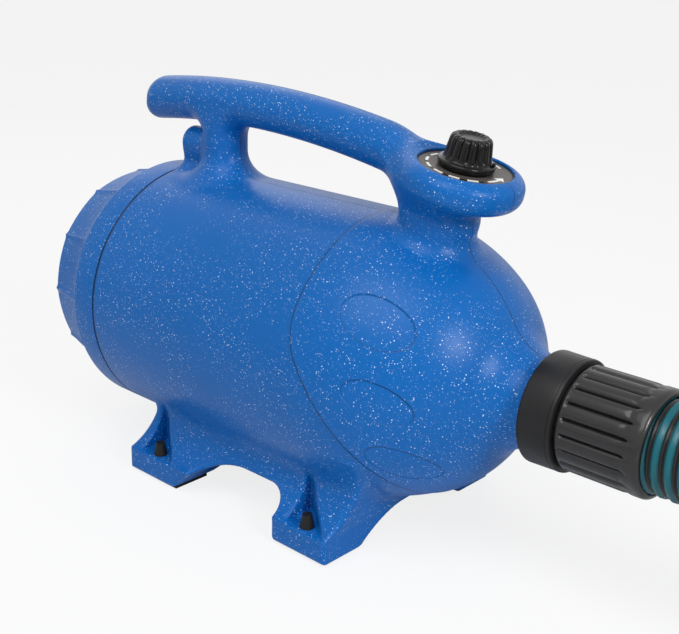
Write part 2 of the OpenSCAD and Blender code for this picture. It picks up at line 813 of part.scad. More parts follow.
// Ribbed tube along the route between two lengths, with its bore
module hose_tube(from_s, to_s, ribs) {
  step = (to_s - from_s) / (2 * ribs);
  outer = [for (i = [0 : 2 * ribs]) hose_ring(from_s + i * step, i % 2 == 0 ? hose_r - hose_fold : hose_r)];
  inner_n = ceil(ribs / 2);
  inner = [for (i = [0 : inner_n]) hose_ring(from_s + i * (to_s - from_s) / inner_n, hose_bore / 2)];
  points = concat([for (ring = outer) each ring], [for (ring = inner) each ring]);
  base = 8 * len(outer);
  last = 8 * (len(outer) - 1);
  inner_last = base + 8 * inner_n;
  faces = concat(
    [for (i = [0 : len(outer) - 2], j = [0 : 7]) let (a = 8 * i + j, b = 8 * i + (j + 1) % 8)
      each [[a, a + 8, b + 8], [a, b + 8, b]]],
    [for (i = [0 : inner_n - 1], j = [0 : 7]) let (a = base + 8 * i + j, b = base + 8 * i + (j + 1) % 8)
      each [[a, b + 8, a + 8], [a, b, b + 8]]],
    [for (j = [0 : 7]) let (n = (j + 1) % 8) each [[j, n, base + n], [j, base + n, base + j]]],
    [for (j = [0 : 7]) let (n = (j + 1) % 8)
      each [[last + j, inner_last + n, last + n], [last + j, inner_last + j, inner_last + n]]]);
  polyhedron(points, faces);
}

module hose() {
  color("teal") hose_tube(0, free_len, free_ribs);
}

module hose_coil() {
  color("teal") hose_tube(free_len, hose_total, coil_ribs);
}

gap_marks = [for (s = [0 : 20 : hose_total]) hose_at(s)];
echo(str("Least gap between turns of the hose, mm: ",
  min([for (i = [0 : len(gap_marks) - 9]) min([for (j = [i + 8 : len(gap_marks) - 1])
    norm(gap_marks[i] - gap_marks[j])])]) - 2 * hose_r));
echo(str("Length of the hose, mm: ", hose_total));

module nozzle_cuff() {
  color("#1c1c1e") translate([nozzle_x, tail_y, cuff_r]) rotate([0, -90, 0]) cuff();
}

module nozzle() {
  tip = nozzle_tip_r;
  color("#1c1c1e") translate([nozzle_x, tail_y, cuff_r]) rotate([0, 90, 0]) rotate_extrude()
    polygon([[airway_r, 0], [nozzle_r - 1, 0], [nozzle_r, 1], [nozzle_r, spigot_depth], [tip + 1, nozzle_len - tip_len - 4],
             [tip, nozzle_len - tip_len], [tip, nozzle_len - 1], [tip - 1, nozzle_len], [tip - 2, nozzle_len],
             [tip - 2, nozzle_len - tip_len], [airway_r - cuff_wall, spigot_depth + 2], [airway_r, spigot_depth + 1]]);
}

// ---- Dial, knob and speed control ----

module dial_plate() {
  color("#1c1c1e") on_head() difference() {
    translate([0, 0, -dial_t]) cylinder(h = dial_t, r = dial_r);
    translate([0, 0, -dial_t - 1]) cylinder(h = far, r = bush_r + seat_gap);
  }
}

// Raised dashes on an arc round the knob, and an arrow that shows which way the speed rises
module dial_marks() {
  color("white") on_head() {
    for (k = [0 : mark_count - 1]) rotate(mark_first - k * mark_step) mark_arc(mark_span);
    rotate(arrow_turn) mark_arc(arrow_span);
    rotate(arrow_turn + arrow_span / 2) translate([mark_r, 0, 0]) linear_extrude(mark_t)
      polygon([[-1.8 * mark_w, -1], [1.8 * mark_w, -1], [0, 3.4]]);
  }
}

module mark_arc(span) {
  rotate(-span / 2) rotate_extrude(angle = span) translate([mark_r - mark_w / 2, 0]) square([mark_w, mark_t]);
}

module speed_knob() {
  grip_foot = skirt_h + knob_lift;
  color("#1c1c1e") on_head() difference() {
    union() {
      rotate_extrude() polygon([[0, knob_lift], [knob_skirt_r - 0.6, knob_lift], [knob_skirt_r, knob_lift + 0.6],
        [knob_skirt_r, grip_foot - 1], [knob_skirt_r - 1, grip_foot], [0, grip_foot]]);
      difference() {
        rotate_extrude() polygon([[0, grip_foot - 1], [knob_r, grip_foot - 1], [knob_top_r, knob_h - 1],
          [knob_top_r - 1, knob_h], [0, knob_h]]);
        for (k = [0 : knob_flutes - 1]) rotate(360 / knob_flutes * k) translate([knob_r + flute_r - 0.9, 0, grip_foot])
          rotate([0, atan2(knob_top_r - knob_r, knob_h - grip_foot), 0]) cylinder(h = far / 8, r = flute_r);
        translate([0, 0, knob_h + dish_r - 1.2]) sphere(r = dish_r);
      }
      // Pointer on the skirt
      rotate(pointer_turn) translate([knob_r - 2, -1.25, knob_lift + 1]) cube([knob_skirt_r - knob_r + 2.6, 2.5, skirt_h + 1]);
    }
    translate([0, 0, -1]) cylinder(h = nut_h + knob_lift + 1.4, r = nut_r + 1);
    translate([0, 0, -1]) cylinder(h = pot_shaft_top + 1, r = pot_shaft_r);
  }
}

module potentiometer_shaft() {
  color("silver") on_head() translate([0, 0, pot_z + 2]) cylinder(h = pot_shaft_top - pot_z - 2, r = pot_shaft_r);
}

module potentiometer() {
  color("darkgoldenrod") on_head() difference() {
    union() {
      translate([0, 0, pot_z]) cylinder(h = -head_floor - pot_z, r = pot_r);
      cylinder(h = nut_h + 0.6, r = bush_r);
      translate([0, 0, -head_floor - 1]) cylinder(h = head_floor + 2, r = bush_r);
      for (k = [-1 : 1]) translate([-pot_r - 5, 5 * k - 1, pot_z + 1]) cube([8, 2, 1]);
    }
    translate([0, 0, pot_z + 2 - run_gap]) cylinder(h = far, r = pot_shaft_r + run_gap);
  }
}

module potentiometer_nut() {
  color("silver") on_head() difference() {
    cylinder(h = nut_h, r = nut_r, $fn = 6);
    translate([0, 0, -1]) cylinder(h = nut_h + 2, r = bush_r + seat_gap / 2);
  }
}

module speed_board() {
  color("seagreen") difference() {
    translate([board_x, -board_half, board_z]) cube([board_len, 2 * board_half, board_t]);
    for (s = [-1, 1], x = [6, board_len - 6])
      translate([board_x + x, s * (board_half - 7), board_z - 1]) cylinder(h = board_t + 2, r = 1.6);
  }
}

// Finned sink under the board, in the air that leaves the motor
module heat_sink() {
  fins = 6;
  pitch = (sink_w - sink_fin) / (fins - 1);
  color("silver") translate([board_x + 3, -sink_w / 2, board_z - 3]) {
    cube([sink_len, sink_w, 3]);
    for (k = [0 : fins - 1]) translate([0, k * pitch, -sink_h]) cube([sink_len, sink_fin, sink_h + 1]);
  }
}

// Filter coil, capacitor and resistors under the front of the board
module board_parts() {
  x = board_x + sink_len + 6;
  color("goldenrod") translate([x + 3, -board_half + 10, board_z - 7.5]) rotate([0, 90, 0])
    rotate_extrude() translate([5, 0]) circle(r = 2.5);
  color("firebrick") translate([x, -1, board_z - 9]) cube([6, 12, 9]);
  color("tan") for (k = [0, 1]) translate([x + 1 + 4 * k, board_half - 11.5, board_z - 1.5]) rotate([-90, 0, 0])
    cylinder(h = 8, r = 1.5);
}

// ---- Fan ----

module fan_shell() {
  color("silver") {
    tube(fan_x, sheet, fan_r - sheet / 2, eye_r + sheet / 2);
    tube(fan_x, fan_len, fan_r, fan_r - sheet);
    tube(fan_x - 3, 3 + sheet, eye_r + sheet, eye_r);
  }
}

// Shroud with its eye, back plate with its hub, and backward-curved blades between them
module impeller(x) {
  centre = 0.56 * impeller_r;
  difference() {
    union() {
      tube(x, 1, impeller_r, eye_r - 1);
      tube(x + impeller_h - 1, 1, impeller_r);
      tube(x + 2, impeller_h - 2, hub_r);
      on_axis(x + 0.5) for (k = [0 : impeller_blades - 1]) rotate(360 / impeller_blades * k)
        linear_extrude(impeller_h - 1) intersection() {
          translate([centre, 0]) difference() {
            circle(r = centre - 2.5);
            circle(r = centre - 3.7);
          }
          difference() {
            circle(r = impeller_r - 1);
            circle(r = eye_r + 1);
          }
          translate([0, 0.5]) square(impeller_r);
        }
    }
    tube(x - 1, impeller_h + 2, shaft_r + hub_gap);
  }
}

module impeller_first() {
  color("silver") impeller(first_x);
}

module impeller_second() {
  color("silver") impeller(second_x);
}

// Two plates with straight return vanes between them, which lead the air back to the second eye
module stage_diffuser() {
  plate_r = fan_r - sheet - seat_gap;
  color("gray") {
    tube(stage_x, 1.2, impeller_r + 1, hub_r + 2);
    tube(stage_x + stage_len - 1.2, 1.2, plate_r, eye_r + 1);
    on_axis(stage_x + 0.6) for (k = [0 : 8]) rotate(40 * k) translate([0, eye_r - 8, 0]) rotate(12)
      cube([1.2, impeller_r - eye_r + 4, stage_len - 1.2]);
  }
}

// Cast plate that closes the fan and carries the motor
module motor_base() {
  plate_r = fan_r - sheet - seat_gap;
  color("gray") difference() {
    tube(base_x, base_t, plate_r);
    tube(base_x + 1, base_t, bearing_r + seat_gap / 2);
    tube(base_x - 1, base_t, shaft_r + 3);
    on_axis(base_x - 1) for (k = [0 : 7]) rotate(45 * k) rotate_extrude(angle = 33)
      translate([frame_r + 4, 0]) square([plate_r - frame_r - 9, base_t + 2]);
  }
}

// ---- Motor ----

module motor_frame() {
  inside = stator_r + seat_gap;
  color("darkgray") difference() {
    union() {
      tube(fan_end_x, frame_end_x - fan_end_x, frame_r);
      tube(frame_end_x - 1, boss_len + 1, boss_r);
    }
    tube(fan_end_x - 1, frame_end_x - fan_end_x - frame_wall + 1, inside);
    tube(frame_end_x - frame_wall - 2, frame_wall + 4, shaft_r + 2);
    tube(nose_bearing_x, far, nose_bearing_r + seat_gap / 2);
    // Air windows behind the stator, and in the end wall
    on_axis(fan_end_x + 4) for (k = [0 : 5]) rotate(60 * k + 30) translate([20, -9, 0]) cube([40, 18, 11]);
    on_axis(frame_end_x - frame_wall - 1) for (k = [0 : 3]) rotate(90 * k + 12) rotate_extrude(angle = 66)
      translate([boss_r + 4, 0]) square([inside - boss_r - 7, far / 8]);
    for (s = [-1, 1]) brush_block(s, frame_r - 8, 20, seat_gap);
  }
}

// Laminated stack with two poles, above and below the armature
module stator_core() {
  color("dimgray") on_axis(stator_x) linear_extrude(stator_len) difference() {
    circle(r = stator_r);
    difference() {
      circle(r = stator_r - yoke_t);
      square([2 * stator_r, 2 * pole_half], center = true);
      intersection() {
        circle(r = gap_r + shoe_t);
        square([2 * stator_r, 1.5 * gap_r], center = true);
      }
    }
    circle(r = gap_r);
  }
}

module rounded(l, w, r) {
  square([l - 2 * r, w], center = true);
  square([l, w - 2 * r], center = true);
  for (i = [-1, 1], j = [-1, 1]) translate([i * (l / 2 - r), j * (w / 2 - r)]) circle(r = r);
}

// One wound coil round each pole
module field_coils() {
  inside_l = stator_len + 1;
  inside_w = 2 * (pole_half + coil_seat);
  color("#a8551f") for (s = [-1, 1])
    translate([stator_x + stator_len / 2, 0, axis_z + (s > 0 ? gap_r + shoe_t + coil_seat : -gap_r - shoe_t - coil_seat - coil_h)])
      linear_extrude(coil_h) difference() {
        rounded(inside_l + 2 * coil_w, inside_w + 2 * coil_w, coil_w);
        rounded(inside_l, inside_w, 0.8);
      }
}

module armature_core() {
  color("dimgray") on_axis(stator_x) linear_extrude(stator_len) difference() {
    circle(r = armature_r);
    circle(r = shaft_r + hub_gap);
    for (k = [0 : 11]) rotate(30 * k) {
      translate([slot_ring_r, 0]) circle(r = slot_r);
      translate([slot_ring_r, -0.7]) square([armature_r, 1.4]);
    }
  }
}

// Wound wire through the slots, gathered into a round head at each end
module armature_windings() {
  color("#a8551f") {
    for (k = [0 : 11]) on_axis(stator_x - 1) rotate(30 * k) translate([slot_ring_r, 0])
      cylinder(h = stator_len + 2, r = slot_r - seat_gap);
    for (x = [stator_x - winding_h, stator_x + stator_len]) difference() {
      on_axis(x) rotate_extrude() {
        translate([shaft_r + 2, 0]) square([slot_ring_r - shaft_r - 2, winding_h]);
        translate([slot_ring_r - 1, winding_h / 2]) circle(r = winding_h / 2);
      }
      tube(x - 1, winding_h + 2, shaft_r + 2);
    }
  }
}

module commutator() {
  color("#b87333") on_axis(commutator_x) difference() {
    cylinder(h = commutator_len, r = commutator_r);
    translate([0, 0, -1]) cylinder(h = commutator_len + 2, r = shaft_r + hub_gap);
    for (k = [0 : 23]) rotate(15 * k) translate([commutator_r - 1, -0.2, -1]) cube([4, 0.4, commutator_len + 2]);
  }
}

module motor_shaft() {
  color("silver") {
    tube(shaft_start_x + 1, shaft_end_x - shaft_start_x - 2, shaft_r);
    tube(shaft_start_x, shaft_end_x - shaft_start_x, shaft_r - 0.6);
  }
}

module fan_spacers() {
  color("silver") {
    tube(first_x + impeller_h, second_x + 2 - first_x - impeller_h, spacer_r, shaft_r + hub_gap);
    tube(second_x + impeller_h, base_x + 1 - second_x - impeller_h, spacer_r - 2, shaft_r + hub_gap);
  }
}

module shaft_nut() {
  color("silver") on_axis(first_x - 4) difference() {
    cylinder(h = 6, r = hub_r, $fn = 6);
    translate([0, 0, -1]) cylinder(h = 8, r = shaft_r + hub_gap);
  }
}

module bearing(x, r, w) {
  difference() {
    tube(x, w, r, shaft_r + run_gap);
    tube(x - 1, 1.4, r - 1.6, shaft_r + 1.6);
    tube(x + w - 0.4, 1.4, r - 1.6, shaft_r + 1.6);
  }
}

module bearing_fan_end() {
  color("silver") bearing(base_x + 1, bearing_r, base_t - 1);
}

module bearing_nose_end() {
  color("silver") bearing(nose_bearing_x, nose_bearing_r, nose_bearing_w);
}

// Block on one side of the commutator, grown by a gap for its hole
module brush_block(s, from_y, len, gap) {
  translate([brush_x - brush_l / 2 - 1.5 - gap, s > 0 ? from_y : -from_y - len, axis_z - brush_w / 2 - 1.5 - gap])
    cube([brush_l + 3 + 2 * gap, len, brush_w + 3 + 2 * gap]);
}

module brush_holders() {
  color("darkgoldenrod") for (s = [-1, 1]) difference() {
    union() {
      brush_block(s, commutator_r + 3, frame_r - commutator_r - 1, 0);
      brush_block(s, frame_r, 2, 2);
    }
    translate([brush_x - brush_l / 2 - seat_gap, s > 0 ? 0 : -frame_r + 3, axis_z - brush_w / 2 - seat_gap])
      cube([brush_l + 2 * seat_gap, frame_r - 3, brush_w + 2 * seat_gap]);
  }
}

module carbon_brushes() {
  color("#303030") for (s = [-1, 1]) difference() {
    translate([brush_x - brush_l / 2, s > 0 ? commutator_r - 1 : -commutator_r - brush_h, axis_z - brush_w / 2])
      cube([brush_l, brush_h + 1, brush_w]);
    tube(brush_x - brush_l, 2 * brush_l, commutator_r + run_gap);
  }
}

// Wound wire between each brush and the end of its holder
module spring(len, r, wire, turns) {
  steps = 10 * turns;
  rings = [for (i = [0 : steps]) let (a = 36 * i)
    [for (j = [0 : 5]) let (q = r + wire * cos(60 * j))
      [q * cos(a), q * sin(a), wire + (len - 2 * wire) * i / steps + wire * sin(60 * j)]]];
  points = [for (ring = rings) each ring];
  last = 6 * steps;
  faces = concat(
    [for (i = [0 : steps - 1], j = [0 : 5]) let (a = 6 * i + j, b = 6 * i + (j + 1) % 6)
      each [[a, b, b + 6], [a, b + 6, a + 6]]],
    [[5, 4, 3, 2, 1, 0]],
    [[for (j = [0 : 5]) last + j]]);
  polyhedron(points, faces);
}

module brush_springs() {
  from_y = commutator_r + brush_h;
  color("silver") for (s = [-1, 1]) translate([brush_x, s * from_y, axis_z]) rotate([-90 * s, 0, 0])
    spring(frame_r - 3 - from_y, brush_w / 2 - 0.8, 0.4, 6);
}

// ---- Mounts inside the barrel ----

module fan_gasket() {
  color("#303030") tube(fan_end_x - gasket_len, gasket_len, bore_r - seat_gap, fan_r + seat_gap / 2);
}

module rear_cushion() {
  color("#303030") tube(fan_x - cushion_t, cushion_t, bore_r - seat_gap, fan_r - 8);
}

module nose_mount() {
  color("#303030") tube(frame_end_x, bracket_x + bracket_t - frame_end_x, hub_ring_r, boss_r + seat_gap / 2);
}

module motor_bracket() {
  ring_r = skin_r(bracket_x + bracket_t) - crease_step - wall - bracket_gap;
  color("gray") {
    tube(bracket_x, bracket_t, ring_r, ring_r - 5);
    tube(bracket_x, bracket_t, hub_ring_r + 4, hub_ring_r + seat_gap / 2);
    on_axis(bracket_x) for (k = [0 : 3]) rotate(90 * k + 45) translate([hub_ring_r + 2, -4, 0])
      cube([ring_r - hub_ring_r - 4, 8, bracket_t]);
  }
}

module rubber_feet() {
  color("#1c1c1e") {
    for (front = [false, true], side = [-1, 1]) pad(front, side);
    each_foot() {
      translate([0, 0, pad_h - 2]) cylinder(h = foot_h - pad_h + 3, r = stem_r);
      translate([0, 0, foot_h + seat_gap]) cylinder(h = 8, r1 = stem_r + 1, r2 = stem_r - 0.4);
    }
  }
}

module housing_screws() {
  color("dimgray") for (s = screw_spots) {
    y_cylinder(s[0], s[1], -12, screw_seat + 1, screw_r);
    difference() {
      y_cylinder(s[0], s[1], screw_seat, screw_seat + 2.6, 2 * screw_r);
      for (a = [0, 90]) translate([s[0], screw_seat + 2.4, s[1]]) rotate([0, a, 0]) cube([4.4, 2, 1], center = true);
    }
  }
}

// Round gland for the power cord, flush in the boss behind the rear post
module cord_gland() {
  color("#1c1c1e") translate([post_x - gland_reach, 0, gland_z]) rotate([0, 90, 0]) difference() {
    cylinder(h = gland_reach - rear_post_r, r = gland_r);
    translate([0, 0, -1]) cylinder(h = far, r = 3.2);
  }
}

housing_right();
housing_left();
rear_cap();
inlet_grille();
inlet_filter();
outlet_collar();
hose_cuff();
hose();
hose_coil();
nozzle_cuff();
nozzle();
dial_plate();
dial_marks();
speed_knob();
potentiometer();
potentiometer_shaft();
potentiometer_nut();
speed_board();
heat_sink();
board_parts();
fan_shell();
impeller_first();
stage_diffuser();
impeller_second();
motor_base();
motor_frame();
stator_core();
field_coils();
armature_core();
armature_windings();
commutator();
motor_shaft();
fan_spacers();
shaft_nut();
bearing_fan_end();
bearing_nose_end();
brush_holders();
carbon_brushes();
brush_springs();
fan_gasket();
rear_cushion();
nose_mount();
motor_bracket();
rubber_feet();
housing_screws();
cord_gland();
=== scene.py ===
"""Looks of a portable pet dryer: moulded housing, inlet cap, controls, outlet, hose, and a small studio.

Every length is in millimetres until a mesh is made, and meshes are in metres.
X runs forwards to the outlet, Y to the dryer's left, Z up, and the floor is at 0.
"""
from functools import partial
from itertools import product
from math import acos, ceil, cos, pi, radians, sin, sqrt, tan

import bmesh
import bpy
import numpy as np
from mathutils import Matrix, Vector


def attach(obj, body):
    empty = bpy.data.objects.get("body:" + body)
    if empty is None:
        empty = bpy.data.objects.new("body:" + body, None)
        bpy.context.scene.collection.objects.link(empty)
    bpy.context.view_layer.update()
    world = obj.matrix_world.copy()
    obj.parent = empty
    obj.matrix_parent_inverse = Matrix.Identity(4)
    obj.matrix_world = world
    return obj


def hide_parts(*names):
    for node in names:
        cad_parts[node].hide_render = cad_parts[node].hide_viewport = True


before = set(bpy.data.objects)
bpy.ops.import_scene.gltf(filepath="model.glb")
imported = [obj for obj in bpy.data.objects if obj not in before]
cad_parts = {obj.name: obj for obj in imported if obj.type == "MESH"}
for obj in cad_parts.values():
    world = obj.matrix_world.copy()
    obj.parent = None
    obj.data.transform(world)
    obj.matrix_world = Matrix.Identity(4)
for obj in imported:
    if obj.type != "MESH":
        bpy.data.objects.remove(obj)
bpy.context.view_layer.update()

bl_info = {
    "name": "Pet dryer",
    "version": (1, 0, 0),
    "blender": (4, 5, 0),
    "location": "3D View > Sidebar > Pet dryer",
    "description": "Builds the visible pieces and finishes of a portable pet dryer round its frame",
    "category": "Object",
}

MM = 0.001


# ---- Sizes and colours that a user would change ----

def colour_of(name, description, default):
    return bpy.props.FloatVectorProperty(
        name=name, description=description, subtype="COLOR", size=3, min=0, max=1, default=default)


def length_of(name, description, low, high, default):
    return bpy.props.FloatProperty(
        name=name, description=description, unit="LENGTH", subtype="DISTANCE", min=low, max=high, default=default)


class HousingSettings(bpy.types.PropertyGroup):
    shell_colour: colour_of("Shell colour", "Colour of the moulded housing and the inlet cap", (0.001, 0.116, 0.42))
    fleck_colour: colour_of("Fleck colour", "Colour of the flecks in the plastic", (0.72, 0.84, 0.95))
    fleck_spacing: length_of("Fleck spacing", "Mean distance between flecks in the plastic", 0.0006, 0.02, 0.0012)
    mesh_step: length_of("Mesh step", "Size of the faces on the smooth parts of the housing", 0.0008, 0.006, 0.0018)


class HoseSettings(bpy.types.PropertyGroup):
    pitch: length_of("Pitch", "Length of one turn of the hose's helix", 0.005, 0.02, 0.0068)
    band_share: bpy.props.FloatProperty(
        name="Band share", description="Share of the pitch that the coloured band takes",
        subtype="FACTOR", min=0.3, max=0.9, default=0.6)
    band_colour: colour_of("Band colour", "Colour of the hose's wide band", (0.0, 0.1, 0.13))


class ControlSettings(bpy.types.PropertyGroup):
    knob_lobes: bpy.props.IntProperty(
        name="Knob lobes", description="Number of finger lobes round the knob", min=6, max=30, default=16)
    plate_colour: colour_of("Plate colour", "Colour of the dial plate", (0.085, 0.075, 0.068))


class StageSettings(bpy.types.PropertyGroup):
    lens: bpy.props.FloatProperty(
        name="Lens", description="Focal length of the camera", unit="CAMERA", min=20, max=200, default=59.64)
    key_power: bpy.props.FloatProperty(
        name="Key light", description="Power of the soft light over the dryer",
        unit="POWER", min=0, max=500, default=9)
    fill: bpy.props.FloatProperty(
        name="Fill", description="Strength of the even light from all sides", min=0, max=2, default=0.38)
    floor_colour: colour_of("Floor colour", "Colour of the floor", (0.86, 0.86, 0.86))


# ---- Finishes ----

# Detail and roughness of a ragged noise. Noise scales are per metre, and heights are in millimetres
RAGGED = (3.0, 0.6)
# Raised edges, found by pointiness and broken into patches, turn lighter: partly wear, partly a painted highlight on
# the rolled edges
EDGE_POINTINESS, EDGE_PATCH, EDGE_PATCH_SCALE = (0.56, 0.66), (0.42, 0.62), 240
PATCH_SCALE, UNEVEN_GLOSS, WEAR_AND_HIGHLIGHT_SHARE = 55, 0.12, 0.4
FLECK_EDGE, DIM_FLECK = 0.06, 0.45


def math_operator(operation, swapped=False):
    """A method of Link that adds the Math node of one operator."""
    def method(self, other):
        return self.maths(operation, *((other, self) if swapped else (self, other)))
    return method


class Link:
    """An output socket that takes part in arithmetic: each operator adds its Math node."""

    def __init__(self, nodes, socket):
        self.nodes, self.socket = nodes, socket

    def maths(self, operation, *values, clamp=False):
        choices = {"operation": operation, "use_clamp": clamp}
        return self.nodes.node("Math", choices, dict(enumerate(values)))

    __add__ = __radd__ = math_operator("ADD")
    __sub__ = math_operator("SUBTRACT")
    __rsub__ = math_operator("SUBTRACT", swapped=True)
    __mul__ = __rmul__ = math_operator("MULTIPLY")
    __truediv__ = math_operator("DIVIDE")
    __pow__ = math_operator("POWER")
    __gt__ = math_operator("GREATER_THAN")
    __lt__ = math_operator("LESS_THAN")
    most = math_operator("MAXIMUM")
    least = math_operator("MINIMUM")

    def __neg__(self):
        return self * -1

    def __abs__(self):
        return self.maths("ABSOLUTE", self)

    def root(self):
        return self.maths("SQRT", self)

    def clip(self):
        """The value, kept between 0 and 1."""
        return self.maths("ADD", self, 0, clamp=True)

    def line(self, half_width):
        """1 where the value is 0, and down to 0 at half the width on either side."""
        return (1 - abs(self) / half_width).clip()

    def rise(self, start, end):
        """0 before start, 1 after end, and a smooth slope between them."""
        limits = {"Value": self, "From Min": start, "From Max": end, "To Min": 0.0, "To Max": 1.0}
        return self.nodes.node("MapRange", {"interpolation_type": "SMOOTHSTEP"}, limits)


class Nodes:
    """A node tree, with the one method that adds a node to it."""

    def __init__(self, tree):
        self.tree = tree

    def node(self, kind, choices=None, inputs=None, out=0):
        made = self.tree.nodes.new("ShaderNode" + kind)
        for key, value in (choices or {}).items():
            setattr(made, key, value)
        for key, value in (inputs or {}).items():
            self.feed(made.inputs[key], value)
        return Link(self, made.outputs[out])

    def feed(self, socket, value):
        """Gives an input socket a link, a colour or a plain value."""
        if isinstance(value, Link):
            self.tree.links.new(value.socket, socket)
        elif socket.type == "RGBA":
            socket.default_value = (*value, 1.0)
        else:
            socket.default_value = value

    def finish_with(self, output, shader):
        """Gives the tree's output node this shader."""
        self.feed(self.tree.nodes[output].inputs["Surface"], shader)


class Finish(Nodes):
    """A material with one Principled shader, and the point on the piece, in the piece's own frame."""

    def __init__(self, name, colour, roughness, metallic=0.0, **sockets):
        self.material = bpy.data.materials.new(name)
        self.material.use_nodes = True
        super().__init__(self.material.node_tree)
        self.shader = self.tree.nodes["Principled BSDF"]
        self.point = self.node("TexCoord", out="Object")
        for socket, value in dict(Base_Color=colour, Roughness=roughness, Metallic=metallic, **sockets).items():
            self.put(socket.replace("_", " "), value)

    def put(self, socket, value):
        self.feed(self.shader.inputs[socket], value)

    def parts(self):
        """The point's X, Y and Z."""
        split = self.node("SeparateXYZ", inputs={"Vector": self.point})
        return [Link(self, output) for output in split.socket.node.outputs]

    def blend(self, share, first, second):
        return self.node("Mix", {"data_type": "RGBA"}, {0: share, 6: first, 7: second}, out=2)

    def noise(self, scale, detail=2.0, roughness=0.5, point=None):
        inputs = {"Vector": point or self.point, "Scale": scale, "Detail": detail, "Roughness": roughness}
        return self.node("TexNoise", None, inputs)

    def vectors(self, operation, first, second, out=0):
        return self.node("VectorMath", {"operation": operation}, {0: first, 1: second}, out)

    def along(self, centre, axis):
        """Distance of the point past a centre, along an axis."""
        return self.vectors("DOT_PRODUCT", self.vectors("SUBTRACT", self.point, centre), axis, out="Value")

    def edge_wear_and_highlight(self):
        """Share of wear and of painted highlight, broken up along the raised edges."""
        raised = self.node("NewGeometry", out="Pointiness").rise(*EDGE_POINTINESS)
        return raised * self.noise(EDGE_PATCH_SCALE, *RAGGED).rise(*EDGE_PATCH)

    def bump(self, height):
        """Raises the surface by the height."""
        self.put("Normal", self.node("Bump", None, {"Strength": 1.0, "Distance": MM, "Height": height}))


def tint(colour, factor, lift=0.0):
    """A darker or lighter shade of a colour."""
    return tuple(min(1.0, c * factor + lift) for c in colour)


def flecks(finish, spacing, reach, shift):
    """Small bright spots of uneven size, as a mask."""
    moved = finish.vectors("ADD", finish.point, (shift, shift, 0.0))
    cells = finish.node("TexVoronoi", {"feature": "F1"}, {"Vector": moved, "Scale": 1 / spacing})
    outputs = cells.socket.node.outputs
    near = Link(finish, outputs["Distance"])
    chance = finish.node("SeparateColor", inputs={"Color": Link(finish, outputs["Color"])})
    size = chance * chance * reach
    return ((size - near) / FLECK_EDGE).clip() * (DIM_FLECK + (1 - DIM_FLECK) * chance)


def plain_plastic(name, colour, roughness, grain=2600, depth=0.012, **sockets):
    """Moulded plastic or rubber with a fine grain and a slightly uneven gloss."""
    finish = Finish(name, colour, roughness, **sockets)
    patches, wear_and_highlight = finish.noise(PATCH_SCALE, *RAGGED), finish.edge_wear_and_highlight()
    finish.put("Roughness", roughness + (patches - 0.5) * UNEVEN_GLOSS + wear_and_highlight * UNEVEN_GLOSS)
    surface = finish.blend(patches, tint(colour, 0.85), tint(colour, 1.25, 0.004))
    # Raised edges turn lighter: partly wear, partly a painted highlight
    finish.put("Base Color", finish.blend(wear_and_highlight * WEAR_AND_HIGHLIGHT_SHARE, surface, tint(colour, 1.8, 0.03)))
    finish.bump(finish.noise(grain) * depth)
    return finish


def plain_metal(name, colour, roughness, grain=900, stretch=(1.0, 1.0, 1.0), depth=0.006):
    """Metal with fine marks from its making, drawn out along one direction where it was turned or drawn."""
    finish = Finish(name, colour, roughness, 1.0)
    marks = finish.noise(grain, *RAGGED, finish.vectors("MULTIPLY", finish.point, stretch))
    patches = finish.noise(70, *RAGGED)
    finish.put("Roughness", roughness + (marks - 0.5) * 0.2 + (patches - 0.5) * 0.1)
    finish.put("Base Color", finish.blend(patches, tint(colour, 0.8), tint(colour, 1.1)))
    finish.bump(marks * depth)
    return finish


# ---- Meshes ----

def make_piece(name, points, faces, body, finishes, nodes, normals=None, face_finish=None):
    """A mesh from points in millimetres, riding on a body and standing for its frame nodes."""
    mesh = bpy.data.meshes.new(name)
    mesh.from_pydata((np.asarray(points, float) * MM).tolist(), [], [list(map(int, f)) for f in faces])
    for finish in finishes:
        mesh.materials.append(finish.material)
    if face_finish is not None:
        mesh.polygons.foreach_set("material_index", np.asarray(face_finish, np.int32))
    mesh.polygons.foreach_set("use_smooth", [True] * len(mesh.polygons))
    mesh.update()
    if normals is not None:
        mesh.normals_split_custom_set_from_vertices(np.asarray(normals, float).tolist())
    piece = bpy.data.objects.new(name, mesh)
    bpy.context.scene.collection.objects.link(piece)
    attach(piece, body)
    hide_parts(*nodes)
    return piece


def sharpen(piece, degrees):
    """Splits the shading at edges that turn by more than this."""
    made = bmesh.new()
    made.from_mesh(piece.data)
    for edge in made.edges:
        edge.smooth = not (len(edge.link_faces) == 2 and edge.calc_face_angle(0) > radians(degrees))
    made.to_mesh(piece.data)
    made.free()
    return piece


def flipped(faces):
    """The same faces, turned to their other side."""
    return [f[::-1] for f in faces]


def eased(t):
    """A smooth slope from 0 to 1."""
    return t * t * (3 - 2 * t)


def turned_rings(rings, sides, radius_at=None, start=0.0, sweep=360.0):
    """Points and faces of a form turned about the X axis at the origin, from (x, r) rings in order: forwards
    along the outside, then back along the inside. radius_at(ring, angles) gives radii that vary round a ring."""
    closed = sweep >= 360
    angles = np.radians(start + np.arange(sides + (0 if closed else 1)) * sweep / sides)
    points = []
    for k, (x, r) in enumerate(rings):
        radii = r if radius_at is None else radius_at(k, angles)
        points.append(np.stack(np.broadcast_arrays(float(x), radii * np.cos(angles), radii * np.sin(angles)), 1))
    across = len(angles)
    faces = []
    for k in range(len(rings) - 1):
        for j in range(sides):
            n = (j + 1) % across
            faces.append((k * across + j, k * across + n, (k + 1) * across + n, (k + 1) * across + j))
    return np.concatenate(points), faces


